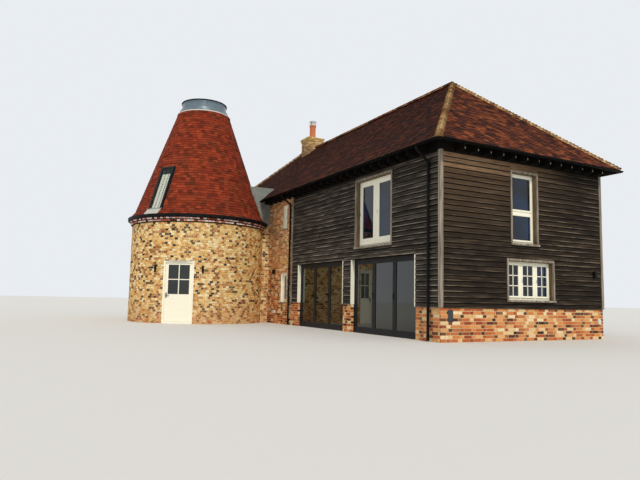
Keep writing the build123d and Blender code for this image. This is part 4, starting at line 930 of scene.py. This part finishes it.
class OAST_OT_ridge(bpy.types.Operator):
    """Beds the ridge tiles and the bonnets on the hips"""
    bl_idname = "oast.ridge"
    bl_label = "Ridge and bonnets"

    def execute(self, context):
        rng = random.Random(32)
        bm = new_piece()
        # Ridge tiles run between the hips and stop at the chimney
        length, spot = 0.3, -HIP_X
        while spot < HIP_X - 0.05:
            end = min(spot + length, HIP_X)
            if end < STACK_LOW.x - 0.02 or spot > STACK_HIGH.x + 0.02:
                rise = UP * (RIDGE_Z - 18 * MM + jitter(rng))
                half_tube(bm, X * spot + rise, X * (end + 10 * MM) + rise, UP, 110 * MM, 106 * MM,
                          rng.random())
            spot = end
        finish_piece(bm, "ridge_bedded", RIDGE_TILE, ("ridge_tiles",), 40)
        bm = new_piece()
        for end, side in ((-1, -1), (-1, 1), (1, -1), (1, 1)):
            foot = Vector((end * ROOF_X, side * EAVES_Y, EAVES_Z))
            way = Vector((end * HIP_X, 0, RIDGE_Z)) - foot
            run = way.normalized()
            out = (UP - run * run.dot(UP)).normalized()
            # The first starts past the eaves, and each one's wide foot lies over the head below it
            count = round(way.length / 0.105)
            step = way.length / count
            row = new_piece()
            for number in range(count):
                start = foot + run * (number * step - 20 * MM) - out * 22 * MM
                head = start + run * step * 1.35 - out * 12 * MM
                half_tube(row, start + out * jitter(rng), head, out, 105 * MM, 82 * MM, rng.random(), 6)
            gather(bm, row)
        finish_piece(bm, "bonnet_tiles", BONNET, ("hip_tiles",), 40)
        return {"FINISHED"}


def roof_runs():
    """Stretches of the kiln roof from the eaves up: radius and height at the foot, length and direction."""
    for (radius, height), (end, top) in zip(ROOF_PROFILE, ROOF_PROFILE[1:]):
        length = math.hypot(end - radius, top - height)
        yield radius, height, length, ((end - radius) / length, (top - height) / length)


def roof_station(distance):
    """Radius, height and upward direction (out, rise) on the kiln roof, measured up from its eaves."""
    lower, upper = roof_runs()
    radius, height, length, (out, rise) = lower
    if distance > length:
        distance -= length
        radius, height, _, (out, rise) = upper
    return radius + out * distance, height + rise * distance, (out, rise)


class OAST_OT_kiln_tiles(bpy.types.Operator):
    """Lays the plain tiles on the kiln's round roof, round its window"""
    bl_idname = "oast.kiln_tiles"
    bl_label = "Kiln roof tiles"

    def execute(self, context):
        rng = random.Random(33)
        sizes = context.scene.oast_tiles
        total = sum(run[2] for run in roof_runs()) - (DRUM_FOOT - SKIRT_FOOT + 20 * MM)
        courses = round(total / sizes.gauge)
        gauge = total / courses
        window_z = sum(corner.z for corner in corners("roof_window_bars")) / 2
        # Half the width of the opening in the tiles, and how far it runs below and above the window's middle
        window_half, below, above = 0.33, 1.14, 0.93
        bm = new_piece()
        for course in range(courses):
            radius, height, (dr, dz) = roof_station(course * gauge - 15 * MM)
            count = round(math.tau * radius / sizes.width)
            turn = math.tau / count
            shift = rng.random() * turn
            by_window = -below < (height - window_z) / dz < above
            row = new_piece()
            for number in range(count):
                angle = number * turn + shift
                along, _, out = radial(angle)
                foot = kiln_point(angle, radius, height)
                width = 2 * radius * math.sin(turn / 2)
                by_link = foot.y > KILN.y and abs(foot.x - KILN.x) < LINK_X[1] - KILN.x + 10 * MM
                if foot.y > -HALF_WIDTH - 30 * MM or by_link and height < LINK_TOP:
                    continue
                side = math.remainder(angle - WINDOW_ANGLE, math.tau) * radius
                if by_window and abs(side) < window_half:
                    continue
                trim = window_half + width / 2 - abs(side)
                if by_window and trim > 0:
                    foot += along * math.copysign(trim / 2, side)
                    width -= trim
                axes = (along, out * dr + UP * dz, out * dz - UP * dr)
                lay_tile(row, foot, axes, width, gauge, rng.random(), jitter(rng, 1.5))
            gather(bm, row)
        finish_piece(bm, "kiln_tiles", KILN_TILE)
        return {"FINISHED"}


# Leadwork, lantern and gutters

class OAST_OT_leadwork(bpy.types.Operator):
    """Dresses the lead rolls on the top and the corners of the link"""
    bl_idname = "oast.leadwork"
    bl_label = "Leadwork"

    def execute(self, context):
        bm = new_piece()
        top, margin, rolls = LINK_TOP + 2 * MM, 15 * MM, 4
        for number in range(rolls + 1):
            x = LINK_X[0] + margin + (LINK_X[1] - LINK_X[0] - 2 * margin) * number / rolls
            start = KILN.y + math.sqrt(cone_radius(LINK_TOP) ** 2 - (x - KILN.x) ** 2) - 20 * MM
            pipe(bm, [Vector((x, start, top)), Vector((x, LINK_BACK - 20 * MM, top))], 22 * MM, 12)
        for x in LINK_X:
            for y in (20 * MM - EAVES_Y, 20 * MM - HALF_WIDTH):
                pipe(bm, [Vector((x, y, LINK_WALL_TOP + 30 * MM)), Vector((x, y, LINK_TOP))], 20 * MM, 12)
        finish_piece(bm, "lead_rolls", LEAD, smooth=50)
        return {"FINISHED"}


class OAST_OT_lantern(bpy.types.Operator):
    """Wraps the drum on the kiln roof in zinc and sets its rim, skirt and flashing"""
    bl_idname = "oast.lantern"
    bl_label = "Lantern"

    def execute(self, context):
        r, foot, top = DRUM_RADIUS, DRUM_FOOT, DRUM_TOP
        head, low = corners("lantern_rim")[1].z, SKIRT_FOOT
        rim, spread = cone_radius(foot), cone_radius(low)
        # Each profile's points: a radius and millimetres out from it, a height and millimetres above it
        for name, finish, slot, replaces, profile in (
            ("drum_zinc", ZINC, "zinc", ("lantern_drum",),
             ((r, -40, foot, 0), (r, -2, foot, 0), (r, -2, top, -62), (r, 10, top, -55), (r, 10, top, -38),
              (r, -2, top, -32), (r, -2, top, 0), (r, -40, top, 0))),
            ("drum_rim", GUTTER, "black_metal", ("lantern_rim",),
             ((r, -65, top, 0), (r, 25, top, 0), (r, 25, head, -8), (r, 17, head, 0), (r, -65, head, 0))),
            ("drum_skirt", ZINC, "zinc", ("lantern_collar",),
             ((r, -1, foot, 0), (r, -1, foot, 20), (r, 6, foot, 20), (rim, 12, foot, 0),
              (spread, 12, low, 0), (spread, -4, low, 0), (rim, -4, foot, 0))),
            ("drum_flashing", PALE_LEAD, "lead", (),
             ((spread, -4, low, -30), (spread, 56, low, -34), (spread, 60, low, -20), (spread, 20, low, 16),
              (spread, 10, low, 18), (spread, -4, low, 0))),
        ):
            bm = new_piece()
            turned(bm, [(radius + out * MM, level + rise * MM) for radius, out, level, rise in profile])
            # Standing seams of the drum
            for seam in (-70, -18, 35, 95, 160, 230) if name == "drum_zinc" else ():
                angle = math.radians(seam)
                spot = kiln_point(angle, r, (foot + top) / 2 - 15 * MM)
                slab(bm, spot, radial(angle), (14 * MM, 0.2, 8 * MM))
            finish_piece(bm, name, finish, replaces, 35)
        return {"FINISHED"}


class OAST_OT_gutters(bpy.types.Operator):
    """Hangs the gutters and downpipes with their brackets and sockets"""
    bl_idname = "oast.gutters"
    bl_label = "Gutters and pipes"

    def execute(self, context):
        bm = new_piece()
        r = 45 * MM
        x, y, z = corners("barn_gutters")[1] - Vector((r, r, 0))
        stops = [Vector((along, across, z)) for along, across in (
            (LINK_X[1], -y), (x, -y), (x, y), (-x, y), (-x, -y), (LINK_X[0], -y))]
        for start, end in zip(stops, stops[1:]):
            way = (end - start).normalized()
            length = (end - start).length
            half_tube(bm, start, end, -UP, r - 2 * MM, r - 2 * MM, steps=10, wall=4 * MM)
            count = int(length / 0.9) + 1
            for number in range(count):
                spot = start + way * length * (number + 0.5) / count
                half_tube(bm, spot - way * 12 * MM, spot + way * 12 * MM, -UP, r, r, steps=10, wall=7 * MM)
        finish_piece(bm, "barn_gutter_runs", GUTTER, ("barn_gutters",), 40)

        bm = new_piece()
        for base, top in islands("downpipes"):
            side = 1 if base.y > 0 else -1
            face, wall, lip = (side * reach for reach in (HALF_WIDTH, HALF_WIDTH + 70 * MM, EAVES_Y + r))
            x = (base.x + top.x) / 2
            bend = top.z - 0.33
            pipe(bm, [Vector((x, wall, 20 * MM)), Vector((x, wall, bend)), Vector((x, lip, top.z - 60 * MM)),
                      Vector((x, lip, top.z))], 33 * MM)
            for height in (0.09, 1.9, bend - 60 * MM):
                pipe(bm, [Vector((x, wall, height)), Vector((x, wall, height + 60 * MM))], 40 * MM)
            for height in (0.7, 2.2, 3.7):
                block(bm, (x - 30 * MM, min(face, wall), height - 15 * MM),
                      (x + 30 * MM, max(face, wall), height + 15 * MM))
        finish_piece(bm, "rain_pipes", GUTTER, ("downpipes",), 40)

        bm = new_piece()
        base, top = corners("kiln_gutter")
        outer = (top.x - base.x) / 2
        inner = outer - 94 * MM
        wall, curl = 4 * MM, 20 * MM
        foot, bend = base.z - 16 * MM, curl + 2 * MM
        bed = foot + wall + 1 * MM
        profile = [
            (inner, top.z), (inner, foot + curl), (inner + curl, foot), (outer - curl, foot),
            (outer, foot + curl), (outer, top.z + 28 * MM), (outer - wall, top.z + 28 * MM),
            (outer - wall, foot + bend), (outer - bend, bed), (inner + bend, bed),
            (inner + wall, foot + bend), (inner + wall, top.z),
        ]
        gap = math.asin((LINK_X[1] - KILN.x + 5 * MM) / inner)
        turned(bm, profile, 160, math.pi / 2 + gap, math.tau - 2 * gap)
        finish_piece(bm, "kiln_gutter_ring", GUTTER, ("kiln_gutter",), 40)
        return {"FINISHED"}


# Joinery

class OAST_OT_window_bars(bpy.types.Operator):
    """Fits glazing bars, weather bars and stays to the windows and lines their reveals"""
    bl_idname = "oast.window_bars"
    bl_label = "Window details"

    def execute(self, context):
        bars, stays, oak, painted = (new_piece() for _ in range(4))
        rail, lining = 55 * MM, 12 * MM
        for face in (FRONT, REAR, NEAR, FAR):
            for _, (a, b, c, d), depth in seen_on(face, "casement_sashes"):
                middle, level = (a + b) / 2, (c + d) / 2
                # Narrow sashes have an upright bar, small ones on the ground floor two cross bars too
                narrow, small = b - a < 0.43, b - a < 0.6 and c < 1.1
                rects = []
                if narrow or small:
                    half = (9 if narrow else 10) * MM
                    rects.append((middle - half, middle + half, c + rail, d - rail))
                if small and not narrow:
                    for share in (1 / 3, 2 / 3):
                        bar = c + rail + (d - c - 2 * rail) * share
                        rects.append((a + rail, b - rail, bar - 10 * MM, bar + 10 * MM))
                for rect in rects:
                    panel(bars, face, rect, depth - 34 * MM, depth - 4 * MM)
                panel(bars, face, (a, b, c + 12 * MM, c + 34 * MM), depth - 8 * MM, depth + 14 * MM)
                stay = (a + 23 * MM, a + 37 * MM, level - 45 * MM, level + 45 * MM)
                panel(stays, face, stay, depth - 1 * MM, depth + 13 * MM)
            for box, (a, b, c, d), depth in seen_on(face, "casement_frames"):
                linings = painted if box[0].x < JOINT_X else oak
                for rect in ((a, a + lining, c, d - lining), (b - lining, b, c, d - lining),
                             (a, b, d - lining, d)):
                    panel(linings, face, rect, depth, 0.0)
        finish_piece(oak, "reveal_linings", OAK)
        finish_piece(painted, "painted_linings", WHITE)
        finish_piece(bars, "window_bars", CREAM)
        finish_piece(stays, "window_stays", STEEL)
        return {"FINISHED"}


class OAST_OT_doors(bpy.types.Operator):
    """Plants the glazing beads on the kiln door and fits the folding doors' handles"""
    bl_idname = "oast.doors"
    bl_label = "Door details"

    def execute(self, context):
        along, _, out = radial(DOOR_ANGLE)
        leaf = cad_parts["kiln_door_leaf"].data
        leaf_out = max((vert.co - KILN).dot(out) for vert in leaf.vertices)
        face = (kiln_point(DOOR_ANGLE, leaf_out, 0), along, out)
        half, foot, head, bead = 0.36, 0.97, 1.95, 12 * MM
        edge = half + bead
        bm = new_piece()
        for rect in ((-edge, edge, foot - bead, foot), (-edge, edge, head, head + bead),
                     (-edge, -half, foot, head), (half, edge, foot, head)):
            panel(bm, face, rect, -3 * MM, 5 * MM)
        finish_piece(bm, "kiln_door_mouldings", WHITE, body=DOOR)

        bm = new_piece()
        for _, (_, right, _, _), depth in seen_on(FRONT, "folding_leaves"):
            panel(bm, FRONT, (right - 46 * MM, right - 24 * MM, 0.94, 1.10), depth, depth + 20 * MM)
        finish_piece(bm, "folding_handles", GUTTER)
        return {"FINISHED"}


class OAST_OT_roof_window(bpy.types.Operator):
    """Dresses the apron under the roof window and hangs its blind"""
    bl_idname = "oast.roof_window"
    bl_label = "Roof window details"

    def execute(self, context):
        along, _, flat = radial(WINDOW_ANGLE)
        (radius, height, length, (out, rise)), (_, _, _, (lean, climb)) = roof_runs()
        spot = kiln_point(WINDOW_ANGLE, radius + out * length / 2, height + rise * length / 2)
        normal = flat * rise - UP * out
        bm = new_piece()
        slab(bm, spot + normal * 27 * MM, (along, flat * out + UP * rise, normal), (0.62, 0.3, 8 * MM))
        finish_piece(bm, "window_apron_dressed", NEW_LEAD)

        # Three strips of cotton under the pane, short of its head, with small folds between them
        wide, tall, folds, sunk = 0.45, 1.59, 17, 44 * MM
        bare = 0.12 * tall
        up, normal = flat * lean + UP * climb, flat * climb - UP * lean
        pane = sum(corners("roof_window_pane"), Vector((0, 0, 0))) / 2 - normal * sunk - up * bare / 2
        bm = new_piece()
        for column in (-1, 0, 1):
            slab(bm, pane + along * column * wide / 3, (along, up, normal),
                 (wide / 3 - 36 * MM, tall - bare, 4 * MM))
        for column in (-0.5, 0.5):
            for number in range(folds):
                spot = pane + along * column * wide / 3 + up * ((number + 0.5) / folds - 0.5) * (tall - bare)
                slab(bm, spot, (along, up, normal), (38 * MM, 22 * MM, 3 * MM))
        finish_piece(bm, "roof_window_blind", BLIND)
        return {"FINISHED"}


class OAST_OT_fittings(bpy.types.Operator):
    """Adds the hoods of the wall lamps and pale ends on the rafter feet, a painted highlight where the sun
    catches them
    """
    bl_idname = "oast.fittings"
    bl_label = "Small fittings"

    def execute(self, context):
        bm = new_piece()
        for base, top in islands("wall_lights"):
            block(bm, (base.x, base.y, top.z), top + UP * 8 * MM)
        finish_piece(bm, "lamp_hoods", GUTTER)
        bm = new_piece()
        # Pale ends on the rafter feet under the near eaves: painted highlight of their sunlit ends
        for base, top in islands("rafter_feet"):
            if top.x >= HALF_LENGTH + 0.2:
                middle = (base.y + top.y) / 2
                block(bm, (top.x - 1 * MM, middle - 14 * MM, base.z + 12 * MM),
                      (top.x + 4 * MM, middle + 14 * MM, base.z + 52 * MM))
        finish_piece(bm, "rafter_end_highlights", SILVER_OAK)
        return {"FINISHED"}


class OAST_OT_finishes(bpy.types.Operator):
    """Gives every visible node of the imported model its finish"""
    bl_idname = "oast.finishes"
    bl_label = "Finishes"

    def execute(self, context):
        for finish, names in (
            (CONCRETE, "ground_floors"),
            (OAK, "upper_floor"),
            (MORTAR, "end_plinth side_plinths front_brick_wall rear_brick_wall far_end_wall window_arch "
                     "chimney_stack"),
            (KILN_MORTAR, "kiln_wall_a kiln_wall_b kiln_door_head link_walls"),
            # Nearly black: painted shade under the corbels
            (CORBEL_BED, "kiln_corbels"),
            # Near black: the stain, and painted shade under the eaves, behind the boards and under the tiles
            (DARK_OAK_AND_SHADE, "front_boarded_wall end_boarded_wall rear_boarded_wall rafter_feet roof_front "
                       "roof_rear roof_hips"),
            (SILVER_OAK, "corner_boards window_surrounds window_sills"),
            (KILN_TILE, "kiln_roof_a kiln_roof_b"),
            (CREAM, "casement_frames casement_sashes"),
            (WHITE, "door_linings kiln_door_frame kiln_door_leaf"),
            (GLASS, "casement_glass"),
            (CLEAR_GLASS, "roof_window_pane lantern_glass"),
            (DOOR_GLASS, "folding_glass kiln_door_glass"),
            (ANTHRACITE, "folding_frames folding_leaves roof_window_bars roof_window_apron"),
            (LEAD, "lead_link"),
            (NEW_LEAD, "chimney_apron"),
            (TERRACOTTA, "chimney_pot"),
            (STEEL, "chimney_cowl kiln_hinge_pins kiln_hinge_leaves"),
            (GUTTER, "kiln_door_handles wall_lights"),
            (ENAMEL, "house_plate"),
            (PLASTIC, "outlet_boxes"),
        ):
            for name in names.split():
                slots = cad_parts[name].data.materials
                slots.clear()
                slots.append(finish)
        return {"FINISHED"}


class StageSettings(bpy.types.PropertyGroup):
    key_strength: FloatProperty(name="Key light", description="Strength of the sun-like lamp", default=1.75)
    sky_strength: FloatProperty(
        name="Fill light", description="Strength of the even light all round", default=0.72)
    floor_colour: FloatVectorProperty(
        name="Floor", description="Colour of the floor", subtype="COLOR",
        default=hex_colour("#DADAD6")[:3])


# Camera fitted to the photograph: place, yaw, pitch and roll in degrees, focal length in pixels
CAMERA_PLACE = (17.981, -11.225, 0.923)
CAMERA_TURNS = (62.014, 5.815, 1.191)
FOCAL_PIXELS, PHOTO_PIXELS, SENSOR = 574.587, 640, 36.0
KEY_LIGHT_FROM = Vector((0.70, -0.17, 0.68))
KEY_LIGHT_SPREAD = math.radians(6)


class OAST_OT_stage(bpy.types.Operator):
    """Sets the floor, the studio light and the camera at the photograph's place"""
    bl_idname = "oast.stage"
    bl_label = "Stage"

    def execute(self, context):
        scene, settings = context.scene, context.scene.oast_stage
        bm = bmesh.new()
        bmesh.ops.create_grid(bm, x_segments=2, y_segments=2, size=150,
                              matrix=Matrix.Translation((0, 0, -MM)))
        mesh = bpy.data.meshes.new("floor")
        bm.to_mesh(mesh)
        bm.free()
        material, _ = new_finish("studio_floor")
        mesh.materials.append(shaded(material, {"Base Color": (*settings.floor_colour, 1), "Roughness": 0.9}))
        floor = bpy.data.objects.new("floor", mesh)
        scene.collection.objects.link(floor)

        world = bpy.data.worlds.new("studio")
        scene.world = world
        world.use_nodes = True
        tree = world.node_tree
        tree.nodes.clear()
        seen = 0.0
        for ray in ("Is Camera Ray", "Is Glossy Ray", "Is Transmission Ray"):
            rays = {0: seen, 1: add_node(tree, "LightPath", {}, ray)}
            seen = add_node(tree, "Math", rays, operation="MAXIMUM")
        fill, view = [
            add_node(tree, "Background", {"Color": hex_colour(code), "Strength": strength})
            for code, strength in (("#F4F6FA", settings.sky_strength), ("#E9EDF1", 1.0))
        ]
        surface = add_node(tree, "MixShader", {0: seen, 1: fill, 2: view})
        add_node(tree, "OutputWorld", {"Surface": surface})

        lamp = bpy.data.lights.new("key", "SUN")
        lamp.energy = settings.key_strength
        lamp.angle = KEY_LIGHT_SPREAD
        lamp.color = hex_colour("#FFF4E4")[:3]
        key = bpy.data.objects.new("key", lamp)
        scene.collection.objects.link(key)
        key.rotation_euler = KEY_LIGHT_FROM.to_track_quat("Z", "Y").to_euler()

        lens = bpy.data.cameras.new("photo_view")
        lens.sensor_width = SENSOR
        lens.lens = SENSOR * FOCAL_PIXELS / PHOTO_PIXELS
        lens.clip_end = 500
        camera = bpy.data.objects.new("photo_view", lens)
        scene.collection.objects.link(camera)
        yaw, pitch, roll = (math.radians(turn) for turn in CAMERA_TURNS)
        right = Vector((math.cos(yaw), math.sin(yaw), 0))
        forward = UP.cross(right) * math.cos(pitch) + UP * math.sin(pitch)
        over = right.cross(forward)
        across = right * math.cos(roll) + over * math.sin(roll)
        upright = over * math.cos(roll) - right * math.sin(roll)
        matrix = Matrix((across, upright, -forward)).transposed().to_4x4()
        matrix.translation = CAMERA_PLACE
        camera.matrix_world = matrix
        scene.camera = camera
        scene.view_settings.view_transform = "Standard"
        return {"FINISHED"}


OPERATORS = (
    OAST_OT_stage, OAST_OT_finishes, OAST_OT_kiln_bricks, OAST_OT_corbels, OAST_OT_barn_bricks,
    OAST_OT_boards, OAST_OT_barn_tiles, OAST_OT_ridge, OAST_OT_kiln_tiles, OAST_OT_leadwork,
    OAST_OT_lantern, OAST_OT_gutters, OAST_OT_window_bars, OAST_OT_doors, OAST_OT_roof_window,
    OAST_OT_fittings,
)
GROUPS = (("oast_bricks", BrickSizes), ("oast_boards", BoardSizes), ("oast_tiles", TileSizes),
          ("oast_stage", StageSettings))


class OAST_PT_panel(bpy.types.Panel):
    """Lists the pieces and their sizes"""
    bl_idname = "OAST_PT_panel"
    bl_label = "Oast house"
    bl_space_type = "VIEW_3D"
    bl_region_type = "UI"
    bl_category = "Oast"

    def draw(self, context):
        for name, group in GROUPS:
            column = self.layout.column(align=True)
            for key in group.__annotations__:
                column.prop(getattr(context.scene, name), key)
        for operator in OPERATORS:
            self.layout.operator(operator.bl_idname)


def register():
    for name, group in GROUPS:
        bpy.utils.register_class(group)
        setattr(bpy.types.Scene, name, PointerProperty(type=group))
    for kind in (*OPERATORS, OAST_PT_panel):
        bpy.utils.register_class(kind)


def unregister():
    for kind in (OAST_PT_panel, *reversed(OPERATORS)):
        bpy.utils.unregister_class(kind)
    for name, group in reversed(GROUPS):
        delattr(bpy.types.Scene, name)
        bpy.utils.unregister_class(group)


def main():
    register()
    for operator in OPERATORS:
        group, name = operator.bl_idname.split(".")
        getattr(getattr(bpy.ops, group), name)()


if __name__ == "__main__":
    main()
